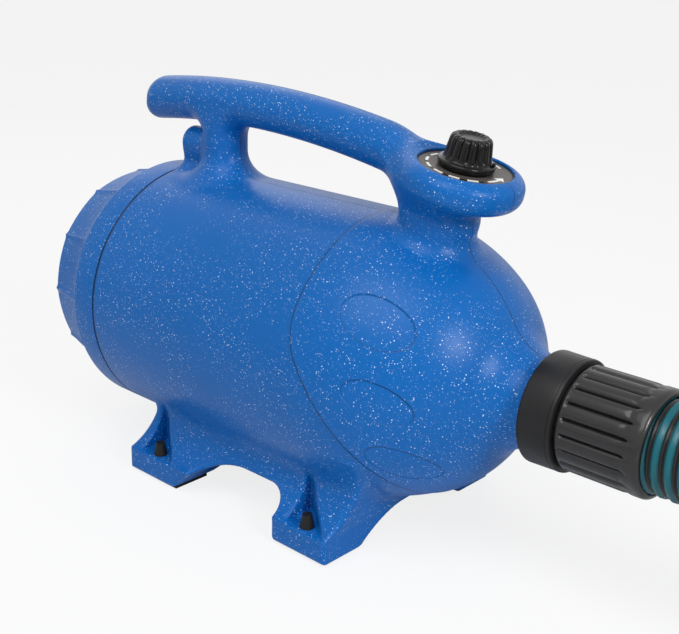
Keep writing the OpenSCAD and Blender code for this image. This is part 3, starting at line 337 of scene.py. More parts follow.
def rounded_path(corners, steps=4):
    """A run of (x, r, fillet) corners, with an arc in place of each corner that has a fillet."""
    out = []
    for k, (x, r, fillet) in enumerate(corners):
        here = np.array([x, r], float)
        if fillet <= 0 or k in (0, len(corners) - 1):
            out.append(here)
            continue
        before = np.array(corners[k - 1][:2], float) - here
        after = np.array(corners[k + 1][:2], float) - here
        before, after = before / np.linalg.norm(before), after / np.linalg.norm(after)
        half = acos(max(-1.0, min(1.0, float(before @ after)))) / 2
        back = fillet / tan(half)
        for i in range(steps + 1):
            t = i / steps
            a, b = here + before * back * (1 - t), here + after * back * t
            out.append(a * (1 - t) + b * t)
    return out


def join_meshes(parts):
    """One list of points and faces from several."""
    points, faces, count = [], [], 0
    for p, f in parts:
        points.append(np.asarray(p, float))
        faces.extend(tuple(i + count for i in face) for face in f)
        count += len(p)
    return np.concatenate(points), faces


# ---- Shape of the housing, as a distance to its skin ----

# Along X: the rear, the cap's front, the dome with its length, the collar and the outlet
REAR, CAP_GAP, DOME, DOME_LEN, COLLAR, OUTLET = -177.8, -120.0, 46.0, 98.8, 158.6, 177.8
AXIS = 100.0
OUT_R, BARREL_R, BORE_R, NOSE_R, NECK_R, NECK_FILLET, AIRWAY_R = 82.55, 81.75, 78.75, 76.0, 25.3, 14.0, 21.5
NOSE, NOSE_IN_R = DOME + DOME_LEN - NOSE_R, NOSE_R - 3.8
SHOULDER_R = ((DOME_LEN - NOSE_R) ** 2 + OUT_R ** 2 - NOSE_R ** 2) / (2 * (OUT_R - NOSE_R))
# The crease: its height, how far the skin falls away behind it, its bend, and the line of its swept part
CREASE_STEP, CREASE_RAMP, CREASE_BEND = OUT_R - BARREL_R, 5.0, 7.0
SWEEP_X, SWEEP_RISE, SWEEP_LEN = 135.2, 0.7, 1.2207
# The grip is an arc in the side view, and its rear end leans
GRIP_Z, GRIP_R, GRIP_BEND, GRIP_TOP, GRIP_END = 227.7, 13.6, 640.0, -66.0, -155.9
END_LEAN, END_ROUND = 0.13, 12.0
POST, POST_R, POST_FILLET = -87.7, 14.0, 9.0
CONTROL, CONTROL_R, CONTROL_FILLET = 81.0, 21.4, 17.0
# Where the posts end inside the barrel, and their fillets on it: the rear one, the front one, and the change between
POSTS_LOW, REAR_FLARE, FRONT_FLARE, FLARE_FROM, FLARE_TO = 110.0, 16.0, 6.5, 20.0, 50.0
HEAD = np.array([96.5, 0.0, 214.65])
HEAD_R, HEAD_H, HEAD_EDGE, HEAD_FILLET, RIM_H, RIM_LIFT = 33.0, 18.0, 8.0, 12.0, 1.5, 0.02
PLATE_T, PLATE_R, PLATE_EDGE = 1.6, 25.7, 0.7
# Cones round the head's axis: radius at the rim's height, rise, and slope length for each millimetre outwards
GRIP_CONE, RIM_CONE = (31.0, 0.56, 1.146), (27.0, 0.5, 1.118)
TILT = radians(10.7)
HEAD_AHEAD = np.array([cos(TILT), 0.0, -sin(TILT)])
HEAD_UP = np.array([sin(TILT), 0.0, cos(TILT)])
# Circles are given by their middle and radius
BOSS_X, BOSS, BOSS_ROUND = -119.2, (0.0, 198.05, 10.0), 3.0
REAR_FOOT, FRONT_FOOT, FOOT_LEN, FOOT_Y, SOLE_Z, FEET_TOP = -94.0, 33.0, 42.0, 77.05, 1.0, 60.0
FOOT_LEAN, LEAN_FROM = 0.211, 16.0
ARCH, ARCH_TOP, ARCH_END = (-2.0, -35.39, 61.84), 26.45, (19.0, 12.45, 14.0)
FLANK, UNDER = (88.77, 44.45, 30.77), (0.0, -55.23, 72.68)
# The hollow in each foot is cut off along a diagonal: its run, its width and its length
POCKET_WALL, POCKET_Y, POCKET_TOP = 10.0, 53.05, 16.0
POCKET_RUN, POCKET_WIDE, POCKET_LEN = 30.0, 23.0, 37.8


def circle(a, b, ring):
    return np.hypot(a - ring[0], b - ring[1]) - ring[2]


def fillet_join(a, b, r):
    return np.maximum(r, np.minimum(a, b)) - np.hypot(np.maximum(r - a, 0), np.maximum(r - b, 0))


def round_common(a, b, r):
    return -fillet_join(-a, -b, r)


def crease_lines(x, z):
    """Distances in the side view behind the two lines where the proud front shell starts: upright and swept."""
    return DOME - 1 - x, (SWEEP_X - SWEEP_RISE * z - x) / SWEEP_LEN


def barrel_distance(x, y, z):
    rho = np.hypot(y, z - AXIS)
    low = OUT_R - SHOULDER_R
    straight = rho - OUT_R
    shoulder = np.hypot(x - DOME, rho - low) - SHOULDER_R
    nose = np.hypot(x - NOSE, rho) - NOSE_R
    past = (x - DOME) * -low - (rho - low) * (NOSE - DOME) > 0
    dome = np.where(x < DOME, straight, np.where(past, nose, shoulder))
    neck = np.maximum(rho - NECK_R, NOSE - x)
    behind = np.clip(round_common(*crease_lines(x, z), CREASE_BEND) / CREASE_RAMP, 0, 1)
    return fillet_join(dome, neck, NECK_FILLET) + CREASE_STEP * eased(behind)


def grip_height(x):
    return GRIP_Z - GRIP_BEND + np.sqrt(GRIP_BEND ** 2 - (x - GRIP_TOP) ** 2)


def handle_distance(x, y, z):
    """Distances to the grip with its posts, control head and gland boss, and to the recess of the dial plate."""
    # The grip and the rear post share one outline in the side view, which is then made round
    grip = np.abs(np.hypot(x - GRIP_TOP, z - GRIP_Z + GRIP_BEND) - GRIP_BEND) - GRIP_R
    grip = np.maximum(grip, x - HEAD[0] + 4)
    grip = round_common(grip, (GRIP_END - x) + END_LEAN * (z - GRIP_Z), END_ROUND)
    post = np.maximum(np.abs(x - POST) - POST_R, z - grip_height(np.clip(x, -200, 120)))
    outline = fillet_join(grip, post, POST_FILLET)
    handle = np.hypot(np.maximum(outline + GRIP_R, 0), y) - GRIP_R
    dx, dz = x - HEAD[0], z - HEAD[2]
    up = dx * HEAD_UP[0] + dz * HEAD_UP[2]
    out = np.hypot(dx * HEAD_AHEAD[0] + dz * HEAD_AHEAD[2], y)
    # The grip's top runs down to the rim of the plate
    cone_r, rise, slant = GRIP_CONE
    handle = round_common(handle, (up - RIM_H - (out - cone_r) * rise) / slant, HEAD_EDGE)
    neck = np.maximum(np.hypot(x - CONTROL, y) - CONTROL_R, z - HEAD[2] + 10)
    handle = fillet_join(handle, neck, CONTROL_FILLET)
    disc = round_common(out - HEAD_R, np.abs(up - RIM_H + HEAD_H / 2) - HEAD_H / 2, HEAD_EDGE)
    handle = fillet_join(handle, disc, HEAD_FILLET)
    # Nothing of the joins stands over the rim
    cone_r, rise, slant = RIM_CONE
    handle = np.maximum(handle, (up - RIM_H - RIM_LIFT - np.maximum(out - cone_r, 0) * rise) / slant)
    boss = round_common(circle(y, z, BOSS), np.maximum(BOSS_X - x, x - POST), BOSS_ROUND)
    return fillet_join(handle, boss, BOSS_ROUND), np.maximum(out - PLATE_R, -PLATE_T - up)


def feet_distance(x, y, z):
    across = np.abs(y)
    lean = FOOT_LEAN * np.maximum(z - LEAN_FROM, 0)
    ends = np.maximum(REAR_FOOT + lean - x, x - (FRONT_FOOT + FOOT_LEN) - lean)
    feet = round_common(ends, SOLE_Z - z, 1.5)
    # In the side view the arch between the feet is a long curve, a level and a short curve
    arch = np.where(x < ARCH[0], circle(x, z, ARCH), z - ARCH_TOP)
    down = np.where(z > ARCH_END[1], circle(x, z, ARCH_END), x - FRONT_FOOT)
    arch = np.where(x > ARCH_END[0], down, arch)
    flank = np.maximum(across - FOOT_Y, -circle(across, z, FLANK))
    for cut, edge in ((flank, 2.6), (-arch, 3.2), (-circle(y, z, UNDER), 1.2)):
        feet = round_common(feet, cut, edge)
    feet = np.maximum(feet, z - FEET_TOP)
    for start in (REAR_FOOT, FRONT_FOOT):
        diagonal = ((x - start - POCKET_WALL) * POCKET_WIDE - (across - POCKET_Y) * POCKET_RUN) / POCKET_LEN
        pocket = round_common(start + POCKET_WALL - x, diagonal, 2.0)
        pocket = round_common(pocket, POCKET_TOP - z, 1.2)
        feet = round_common(feet, -pocket, 1.5)
    return feet


def housing_distance(x, y, z, with_feet=True, with_handle=True):
    shape = barrel_distance(x, y, z)
    if with_feet:
        shape = fillet_join(shape, feet_distance(x, y, z), 6.0)
    if with_handle:
        handle, recess = handle_distance(x, y, z)
        # The rear post flares out on the barrel, and the control neck stands on it with a small fillet
        change = np.clip((x - FLARE_FROM) / (FLARE_TO - FLARE_FROM), 0, 1)
        flare = REAR_FLARE + (FRONT_FLARE - REAR_FLARE) * change
        shape = fillet_join(shape, np.maximum(handle, POSTS_LOW - z), flare)
        shape = round_common(shape, -recess, PLATE_EDGE)
    return shape


# Cells kept free round a surface, rounds of settling, and the limits of one move
MARGIN, ROUNDS, LEAST_SQUARE, LONGEST_MOVE = 2, 4, 0.05, 1.0


def surface_mesh(distance, low, high, step):
    """Smooth mesh of a distance's zero surface between two corners, with a point in each cell that it crosses."""
    low, high = np.array(low, float), np.array(high, float)
    counts = np.ceil((high - low) / step).astype(int) + 2 * MARGIN + 1
    axes = [low[k] + (np.arange(counts[k]) - MARGIN) * step for k in range(3)]
    gx, gy, gz = np.meshgrid(*axes, indexing="ij", sparse=True)
    field = np.broadcast_to(distance(gx, gy, gz), counts).astype(np.float32)
    inside = field < 0
    cells = tuple(c - 1 for c in counts)
    corners = list(product((0, 1), repeat=3))
    mixed = sum(inside[tuple(slice(c, c + n) for c, n in zip(corner, cells))].astype(np.int8) for corner in corners)
    active = np.argwhere((mixed > 0) & (mixed < len(corners)))
    values = {corner: field[tuple((active + corner).T)].astype(float) for corner in corners}
    total, hits = np.zeros((len(active), 3)), np.zeros(len(active))
    for a in corners:
        for axis in range(3):
            if a[axis]:
                continue
            b = tuple(1 if n == axis else a[n] for n in range(3))
            fa, fb = values[a], values[b]
            crossed = (fa < 0) != (fb < 0)
            t = np.where(crossed, fa / np.where(crossed, fa - fb, 1), 0)
            at = np.tile(np.array(a, float), (len(active), 1))
            at[:, axis] += t
            total += at * crossed[:, None]
            hits += crossed
    points = low + (active - MARGIN + total / hits[:, None]) * step
    number = -np.ones(cells, np.int64)
    number[tuple(active.T)] = np.arange(len(active))
    faces = []
    for axis in range(3):
        one, two = [slice(None)] * 3, [slice(None)] * 3
        one[axis], two[axis] = slice(0, -1), slice(1, None)
        at = np.argwhere(inside[tuple(one)] != inside[tuple(two)])
        u, v = [(1, 2), (2, 0), (0, 1)][axis]
        at = at[(at[:, u] > 0) & (at[:, v] > 0) & (at[:, u] < cells[u]) & (at[:, v] < cells[v])]
        quads = []
        for du, dv in ((0, 0), (1, 0), (1, 1), (0, 1)):
            cell = at.copy()
            cell[:, u] -= 1 - du
            cell[:, v] -= 1 - dv
            quads.append(number[tuple(cell.T)])
        quads = np.stack(quads, 1)
        outward = inside[tuple(at.T)]
        quads[~outward] = quads[~outward][:, ::-1]
        faces.append(quads)
    faces = np.concatenate(faces)
    return settle(distance, points), faces[(faces >= 0).all(1)]


def slope(distance, points, reach=0.02):
    """Direction in which the distance grows, at each point."""
    growth = [distance(*(points + off).T) - distance(*(points - off).T) for off in reach * np.eye(3)]
    return np.stack(growth, 1) / (2 * reach)


def settle(distance, points):
    """Moves points onto the zero surface in short moves."""
    for _ in range(ROUNDS):
        grade = slope(distance, points)
        value = distance(*points.T)
        square = np.maximum((grade ** 2).sum(1), LEAST_SQUARE)
        move = -grade * (value / square)[:, None]
        length = np.maximum(np.linalg.norm(move, axis=1), 1e-9)
        points = points + move * np.minimum(1, LONGEST_MOVE / length)[:, None]
    return points


def clipped(points, faces, low, high):
    """The part of a mesh inside a box, cut cleanly at its sides."""
    made = bmesh.new()
    verts = [made.verts.new(p) for p in points.tolist()]
    for face in faces.tolist():
        made.faces.new([verts[i] for i in face])
    for axis, along in enumerate(np.eye(3)):
        for value, sign in ((low[axis], -1), (high[axis], 1)):
            bmesh.ops.bisect_plane(made, geom=made.verts[:] + made.edges[:] + made.faces[:], dist=1e-5,
                                   plane_co=along * value, plane_no=along * sign, clear_outer=True)
    made.verts.index_update()
    out = np.array([v.co[:] for v in made.verts], float).reshape(-1, 3)
    kept = [[v.index for v in f.verts] for f in made.faces]
    made.free()
    return out, kept


def housing_skin(step):
    """Outer skin of the right half, from the joint at Y 0 outwards, in pieces of even fineness."""
    top, wide, feet_cut, neck_cut, head_cut = 250.0, -90.0, 46, 186, 56
    blocks = (
        (True, False, (CAP_GAP, wide, 0), (COLLAR, 0, feet_cut), 0.66),
        (True, True, (CAP_GAP, wide, feet_cut), (COLLAR, 0, neck_cut), 1.0),
        (False, True, (-170, -40, neck_cut), (head_cut, 0, top), 0.8),
        (False, True, (head_cut, -50, neck_cut), (140, 0, top), 0.45),
    )
    parts = []
    for feet, handle, low, high, fineness in blocks:
        distance = partial(housing_distance, with_feet=feet, with_handle=handle)
        points, faces = surface_mesh(distance, low, high, step * fineness)
        parts.append(clipped(points, faces, low, high))
    return join_meshes(parts)


def housing_inside():
    """Bore of the right half with its rear rim, turned through half a circle."""
    rings = [(CAP_GAP, BARREL_R), (CAP_GAP, BORE_R), (-20, BORE_R), (DOME, BORE_R)]
    for degrees in range(83, 5, -7):
        a = radians(degrees)
        rings.append((NOSE + NOSE_IN_R * cos(a), NOSE_IN_R * sin(a)))
    rings = [r for r in rings if r[1] >= AIRWAY_R] + [(NOSE + NOSE_IN_R, AIRWAY_R), (COLLAR, AIRWAY_R)]
    points, faces = turned_rings(rings, 48, start=90, sweep=180)
    points[:, 2] += AXIS
    return points, flipped(faces)


# ---- Route of the hose ----

# Where the hose starts, how high its middle lies, its straight run, the bends of its coil and tail, and the cuffs
HOSE_X, HOSE_Z, REACH, COIL_R, TAIL_R, TAIL_LEN, CUFF_R = 211.0, 24.65, 334.0, 245.0, 300.0, 85.0, 28.0
DROP_FROM, DROP_LEN = 169, 400  # Along the hose, where it comes down to the floor
COIL_X, TAIL_X, TAIL_Y = HOSE_X + REACH, HOSE_X + REACH - COIL_R + TAIL_R, COIL_R - TAIL_R
FAR_CUFF = (TAIL_X + TAIL_LEN + 33.4, TAIL_Y, CUFF_R)
# Radii of the hose between its ribs and at its ends, and the heights of the wide band and the narrow rib
ROOT_R, END_R, BAND_RISE, RIB_RISE = 21.7, 22.4, 2.8, 2.1


def drop_height(s):
    """Height of the hose's middle, a distance along its route."""
    share = min(1, max(0, (s - DROP_FROM) / DROP_LEN))
    return HOSE_Z + (AXIS - HOSE_Z) * (1 + cos(pi * share)) / 2


def hose_route():
    """Points of the route: straight out of the cuff, one turn on the floor, and under itself to the nozzle."""
    points = [(HOSE_X + x, 0, drop_height(x)) for x in (0, 40, 80, 120, DROP_FROM, 205, 240, 275, 305, REACH)]
    for turn in range(1, 21):
        a = radians(turn * 13.5)
        points.append((COIL_X + COIL_R * sin(a), COIL_R - COIL_R * cos(a), drop_height(REACH + COIL_R * a)))
    for turn in range(1, 9):
        a = radians(270 + turn * 11.25)
        points.append((TAIL_X + TAIL_R * sin(a), COIL_R - TAIL_R * cos(a), HOSE_Z))
    for x, rise in ((28, 0.5), (56, 1), (TAIL_LEN, 1)):
        points.append((TAIL_X + x, TAIL_Y, HOSE_Z + (CUFF_R - HOSE_Z) * rise))
    return points


def smooth_route(route, steps):
    """Points along the smooth curve through a route."""
    p = np.array(route, float)
    out = []
    for i in range(len(p) - 1):
        a, b, c, d = p[max(i - 1, 0)], p[i], p[i + 1], p[min(i + 2, len(p) - 1)]
        for t in np.arange(steps) / steps:
            bend, twist = 2 * a - 5 * b + 4 * c - d, 3 * b - a - 3 * c + d
            out.append((2 * b + (c - a) * t + bend * t ** 2 + twist * t ** 3) / 2)
    out.append(p[-1])
    return np.array(out)


def hose_form(route, pitch, band_share, sides=26, rows=12):
    """A helical band and a narrow rib that run round a tube. Gives points, faces and each face's finish."""
    runs = np.concatenate([[0], np.cumsum(np.linalg.norm(np.diff(route, axis=0), axis=1))])
    length = runs[-1]
    count = (int(ceil(length / pitch)) + 3) * rows
    profile, kind = [], []
    for k in range(rows):
        u = k / rows
        rib = u >= band_share
        start, width, rise = (band_share, 1 - band_share, RIB_RISE) if rib else (0, band_share, BAND_RISE)
        t = ((u - start) / width - 0.5) * 2
        profile.append(ROOT_R + rise * sqrt(max(1 - t * t, 0)))
        kind.append(int(rib))

    def on_route(at):
        return np.stack([np.interp(at, runs, route[:, k]) for k in range(3)], -1)

    at = (np.arange(count)[:, None] + rows * np.arange(sides)[None, :] / sides) * (pitch / rows) - pitch
    at = np.clip(at, 0, length)
    ahead = on_route(np.minimum(at + 2, length)) - on_route(np.maximum(at - 2, 0))
    ahead /= np.linalg.norm(ahead, axis=-1, keepdims=True)
    side = np.cross([0, 0, 1.0], ahead)
    side /= np.linalg.norm(side, axis=-1, keepdims=True)
    up = np.cross(ahead, side)
    angle = 2 * np.pi * np.arange(sides)[None, :, None] / sides
    at_end = np.minimum(at, length - at) < 1e-9
    radius = np.array(profile)[np.arange(count) % rows]
    reach = np.where(at_end, END_R, np.broadcast_to(radius[:, None], at.shape))[..., None]
    points = (on_route(at) + reach * (side * np.cos(angle) + up * np.sin(angle))).reshape(-1, 3)
    i, j = np.meshgrid(np.arange(count - 1 - rows), np.arange(sides), indexing="ij")
    n = (j + 1) % sides
    after = i + np.where(j == sides - 1, rows, 0)
    quads = np.stack([i * sides + j, after * sides + n, (after + 1) * sides + n, (i + 1) * sides + j], -1)
    quads = quads.reshape(-1, 4)
    kinds = np.array(kind)[i % rows].reshape(-1)
    stretch = at.reshape(-1)[quads]
    kept = stretch.max(1) - stretch.min(1) > 1e-6
    return points, quads[kept], kinds[kept], length


# ---- Operators ----

def settings():
    return bpy.context.scene.pet_dryer


# Turn, lift and roll of the camera in degrees, its place, half the floor's width, and the floor's own light
CAMERA_ANGLES, CAMERA_AT = (41.80, 19.14, 1.75), (0.4338, -0.4715, 0.3307)
FLOOR_REACH, FLOOR_GLOW = 30, 0.82


class PET_DRYER_OT_stage(bpy.types.Operator):
    """Makes the camera, the floor and the soft light"""
    bl_idname = "pet_dryer.stage"
    bl_label = "Stage"

    def execute(self, context):
        opts = settings().stage
        scene = context.scene
        scene.view_settings.view_transform = "Standard"
        camera = bpy.data.objects.new("camera", bpy.data.cameras.new("camera"))
        camera.data.lens = opts.lens
        camera.data.sensor_fit = "HORIZONTAL"
        camera.data.sensor_width = 36
        turn, lift, roll = (radians(a) for a in CAMERA_ANGLES)
        facing = Matrix.Rotation(turn, 4, "Z") @ Matrix.Rotation(pi / 2 - lift, 4, "X")
        camera.matrix_world = Matrix.Translation(CAMERA_AT) @ facing @ Matrix.Rotation(roll, 4, "Z")
        camera.data.clip_start = 0.01
        scene.collection.objects.link(camera)
        scene.camera = camera

        floor_mesh = bpy.data.meshes.new("floor")
        corners = [(x * FLOOR_REACH, y * FLOOR_REACH, 0) for x, y in ((-1, -1), (1, -1), (1, 1), (-1, 1))]
        floor_mesh.from_pydata(corners, [], [(0, 1, 2, 3)])
        floor = bpy.data.objects.new("floor", floor_mesh)
        scene.collection.objects.link(floor)
        finish = Finish("floor_paper", opts.floor_colour, 0.75)
        finish.bump(finish.noise(420) * 0.02)
        seen = finish.node("LightPath", out="Is Camera Ray")
        white = finish.node("Emission", None, {"Color": (1, 1, 1), "Strength": 1.0})
        paper = Link(finish, finish.shader.outputs[0])
        mixed = finish.node("MixShader", None, {0: seen * FLOOR_GLOW, 1: paper, 2: white})
        finish.finish_with("Material Output", mixed)
        floor_mesh.materials.append(finish.material)

        world = bpy.data.worlds.new("studio")
        world.use_nodes = True
        scene.world = world
        studio = Nodes(world.node_tree)
        seen, glossy, through = (studio.node("LightPath", out=f"Is {ray} Ray")
                                 for ray in ("Camera", "Glossy", "Transmission"))
        seen = seen.most(glossy).most(through)
        soft = studio.node("Background", None, {"Color": (1, 1, 1), "Strength": opts.fill})
        white = studio.node("Background", None, {"Color": (1, 1, 1), "Strength": 1.0})
        studio.finish_with("World Output", studio.node("MixShader", None, {0: seen, 1: soft, 2: white}))

        for name, place, size, power, target in (
                ("key_light", (0.15, -0.75, 1.25), 0.9, opts.key_power, (0, 0, 0.12)),
                ("front_light", (1.15, -0.25, 0.75), 0.35, opts.key_power * 0.8, (0.1, 0, 0.12)),
                ("rear_light", (-0.9, 0.6, 0.9), 0.8, opts.key_power * 0.16, (0, 0, 0.12))):
            lamp = bpy.data.lights.new(name, "AREA")
            lamp.size = size
            lamp.energy = power
            light = bpy.data.objects.new(name, lamp)
            light.location = place
            light.rotation_euler = (Vector(target) - Vector(place)).to_track_quat("-Z", "Y").to_euler()
            scene.collection.objects.link(light)
        return {"FINISHED"}


# Roughness of the shell, reach of a fleck in its cell, and spacing of the fine flecks against the coarse ones
SHELL_GLOSS, FLECK_REACH, FINE_SHARE = 0.33, 0.3, 0.62
# Middle X and Z, half lengths and lean of the ovals on each side of the dome
OVALS = ((90.5, 142, 20.6, 10, -21.5), (99.9, 103.6, 18, 9.7, -21.7), (108, 68, 15.8, 9.7, -22))
OVAL_DEPTH, JOINT_DEPTH, EDGE_DEPTH = 0.75, 0.5, 0.4
NECK_FROM = 184  # Height over which the crease and the rear edge have nothing to mark


def shell_finish(name, opts, features):
    """Blue flecked plastic. The features are raised or sunk lines that the moulding tool left, as bumps, with a mask
    that darkens them: painted shade along creases, steps, rims and gaps, and the dark joint of the halves.
    """
    colour = opts.shell_colour
    finish = Finish(name, colour, SHELL_GLOSS, Specular_IOR_Level=0.19)
    spots = flecks(finish, opts.fleck_spacing, FLECK_REACH, 0.0).most(
        flecks(finish, opts.fleck_spacing * FINE_SHARE, FLECK_REACH, 0.37) * 0.6)
    spots = (spots * finish.noise(28).rise(0.28, 0.52)).clip()
    base = finish.blend(finish.noise(9), tint(colour, 0.9), tint(colour, 1.1, 0.002))
    base = finish.blend(spots, base, tuple(opts.fleck_colour))
    height, shade = features(*(part * 1000 for part in finish.parts()))
    # Painted shade: the features' mask darkens the crease, the ovals' rims, the step and the gaps at the cap; the
    # joint of the halves is a dark seam
    base = finish.blend(shade, base, tint(colour, 0.22))
    # Raised edges turn lighter: partly wear, partly a painted highlight
    wear_and_highlight = finish.edge_wear_and_highlight()
    finish.put("Base Color", finish.blend(wear_and_highlight * 0.35, base, tint(colour, 1.5, 0.06)))
    gloss = (finish.noise(140, *RAGGED) - 0.5) * 0.1
    finish.put("Roughness", SHELL_GLOSS + gloss + wear_and_highlight * 0.08)
    grain = finish.noise(1500, 2.0, 0.55) * 0.022 + finish.noise(260) * 0.02
    finish.bump(grain + height)
    return finish


def housing_features(x, y, z):
    """Front shell's swept edge, the ovals of the dome, the joint of the halves and the rear edge: their bumps, and a
    darkening mask of painted shade at the crease, round the ovals and in the gap at the rear edge, with the joint as
    a dark seam.
    """
    upright, swept = crease_lines(x, z)
    past = ((upright + CREASE_BEND).most(0) ** 2 + (swept + CREASE_BEND).most(0) ** 2).root()
    ahead = -(past + upright.most(swept).least(-CREASE_BEND))
    below_neck = z < NECK_FROM
    # The mesh falls away slowly behind the crease, and this makes the fall a step
    height = (ahead.rise(-0.45, 0.45) - 1) * (1 - (-ahead).rise(0.0, CREASE_RAMP)) * CREASE_STEP * below_neck
    # Painted shade along the crease
    line = (ahead + 0.5).line(0.55) * 0.75
    for cx, cz, a, b, lean in OVALS:
        c, s = cos(radians(lean)), sin(radians(lean))
        u = ((x - cx) * c + (z - cz) * s) / a
        v = ((z - cz) * c - (x - cx) * s) / b
        reach = (u * u + v * v).root()
        height = height - (1 - reach.rise(0.955, 1.045)) * OVAL_DEPTH
        # Painted shade round each oval's rim
        line = line.most((reach - 1.0).line(0.05) * 0.28)
    joint = y.line(0.32)
    # Painted shade in the gap in front of the cap, with a small dip there
    rear_edge = (x - CAP_GAP).rise(1.1, 0.5) * below_neck
    height = height - joint * JOINT_DEPTH - rear_edge * EDGE_DEPTH
    return height, (line * below_neck).most(joint * 0.85).most(rear_edge * 0.8)


class PET_DRYER_OT_housing(bpy.types.Operator):
    """Makes the two halves of the moulded housing"""
    bl_idname = "pet_dryer.housing"
    bl_label = "Housing"

    def execute(self, context):
        opts = settings().housing
        finish = shell_finish("shell_plastic", opts, housing_features)
        step = opts.mesh_step / MM * 1.0
        points, faces = housing_skin(step)
        normals = slope(housing_distance, points, 0.05)
        normals[np.abs(points[:, 1]) < 1e-3, 1] = 0
        bore, bore_faces = housing_inside()
        radial = np.stack([np.zeros(len(bore)), -bore[:, 1], AXIS - bore[:, 2]], 1)
        rim = bore[:, 1] ** 2 + (bore[:, 2] - AXIS) ** 2 > (BARREL_R - 0.1) ** 2
        radial[rim] = (-1, 0, 0)
        normals = np.concatenate([normals, radial])
        normals /= np.maximum(np.linalg.norm(normals, axis=1, keepdims=True), 1e-9)
        points, faces = join_meshes([(points, faces), (bore, bore_faces)])
        for name, side in (("housing_right", 1), ("housing_left", -1)):
            flip = np.array([1, side, 1])
            make_piece(name + "_shell", points * flip, faces if side > 0 else flipped(faces), "dryer",
                       [finish], (name,), normals * flip)
        return {"FINISHED"}


CAP_STEP, RIDGES = -139.5, 12
FLAT_SHARE, BEAD_HALF, RIDGE_FADE = 0.22, 1.3, 12.0


def cap_features(x, y, z):
    """Painted shade in the gap where the band meets the barrel, with a small dip there, and a line of painted shade
    at the small step behind the band.
    """
    front_edge = x.rise(-121.6, -120.9)
    # Both lines darken the colour as painted shade
    return front_edge * -0.3, front_edge.most((x + 139.7).line(0.5) * 0.5)


def cap_form():
    """The cap, turned about X: a smooth band in front, a ridged skirt that narrows to the rear, and its inside."""
    front, lip, back = CAP_GAP - 0.5, CAP_STEP - 0.6, REAR
    skirt_r, end_r, turn_r, ledge = 80.15, 70.35, 2.5, back + 3.8
    outer = rounded_path([(front, 78.0, 0), (front, BARREL_R, 0.9), (CAP_STEP, BARREL_R, 1.0), (lip, skirt_r, 0)])
    skirt = [(lip - s * (lip - back - turn_r), skirt_r - (skirt_r - end_r) * s ** 0.62)
             for s in np.linspace(0, 1, 26)[1:]]
    turn = [(back + turn_r - turn_r * sin(a), end_r - turn_r + turn_r * cos(a))
            for a in np.radians(np.arange(15, 91, 15))]
    inner = rounded_path([(back, 60.0, 0), (back, 52.05, 0.8), (ledge, 52.05, 0.2), (ledge, 64.0, 1.0),
                          (CAP_STEP - 1, 74.5, 1.0), (front + 5.6, 75.85, 0.5), (front + 6, 78.45, 0.4),
                          (front, 78.45, 0)], 3)
    rings = [*outer, *skirt, *turn, *inner]
    first, last = len(outer) - 1, len(outer) + len(skirt) + len(turn)
    half = 180 / RIDGES

    def radius_at(k, angles):
        x, r = rings[k]
        if not first <= k < last:
            return r
        fade = eased(min(1.0, max(0.0, (lip - x) / RIDGE_FADE)))
        away = np.abs((np.degrees(angles) + half) % (2 * half) - half) / half
        bead = 1 - np.exp(-(away * half / 57.3 * r / BEAD_HALF) ** 2)
        flat = 1 - np.cos(np.radians(half)) / np.cos(np.radians(half * (1 - away)))
        return r - fade * (bead + FLAT_SHARE * r * flat)

    points, faces = turned_rings(rings, 360, radius_at)
    points[:, 2] += AXIS
    return points, flipped(faces)


class PET_DRYER_OT_cap(bpy.types.Operator):
    """Makes the ridged inlet cap, its guard and its filter"""
    bl_idname = "pet_dryer.cap"
    bl_label = "Inlet cap"

    def execute(self, context):
        finish = shell_finish("cap_plastic", settings().housing, cap_features)
        points, faces = cap_form()
        sharpen(make_piece("rear_cap_moulding", points, faces, "inlet_cap", [finish], ("rear_cap",)), 40)
        paint(plain_plastic("guard_plastic", (0.012, 0.012, 0.014), 0.42), "inlet_grille")
        foam = Finish("filter_foam", (0.03, 0.032, 0.036), 0.95)
        cells = foam.node("TexVoronoi", {"feature": "F1"}, {"Vector": foam.point, "Scale": 700.0})
        foam.put("Base Color", foam.blend(cells.rise(0.1, 0.7), (0.075, 0.08, 0.09), (0.008, 0.008, 0.01)))
        foam.bump(cells * -0.8)
        paint(foam, "inlet_filter")
        return {"FINISHED"}


def paint(finish, *nodes):
    """Gives frame nodes one finish."""
    for node in nodes:
        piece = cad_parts[node]
        piece.data.materials.clear()
        piece.data.materials.append(finish.material)


class PET_DRYER_OT_outlet(bpy.types.Operator):
    """Makes the smooth collar round the outlet"""
    bl_idname = "pet_dryer.outlet"
    bl_label = "Outlet collar"

    def execute(self, context):
        finish = plain_plastic("collar_plastic", (0.012, 0.012, 0.013), 0.33, Specular_IOR_Level=0.2)
        rings = rounded_path([
            (COLLAR, 24.2, 0), (COLLAR, 30.4, 1.6), (OUTLET - 2.6, 30.0, 0.5), (OUTLET - 2.2, 29.6, 0.2),
            (OUTLET - 1.8, 30.1, 0.3), (OUTLET, 29.9, 1.1), (OUTLET, 21.6, 0.6), (OUTLET - 3.8, 21.6, 0.2),
            (OUTLET - 3.8, 24.2, 0.2), (COLLAR, 24.2, 0)])
        points, faces = turned_rings(rings, 144)
        points[:, 2] += AXIS
        sharpen(make_piece("outlet_ring", points, faces, "dryer", [finish], ("outlet_collar",)), 50)
        return {"FINISHED"}


# Radii of a cuff's crests and of the rounding of its end, and its number of finger ribs
CREST_R, LIP_R, CUFF_LOBES = 28.0, 3.0, 20
LOBE_DEPTH, LOBE_SQUASH, GROOVE_DEPTH, GROOVE_HALF, TIP_DEPTH = 2.0, 0.96, 0.8, 0.7, 0.45


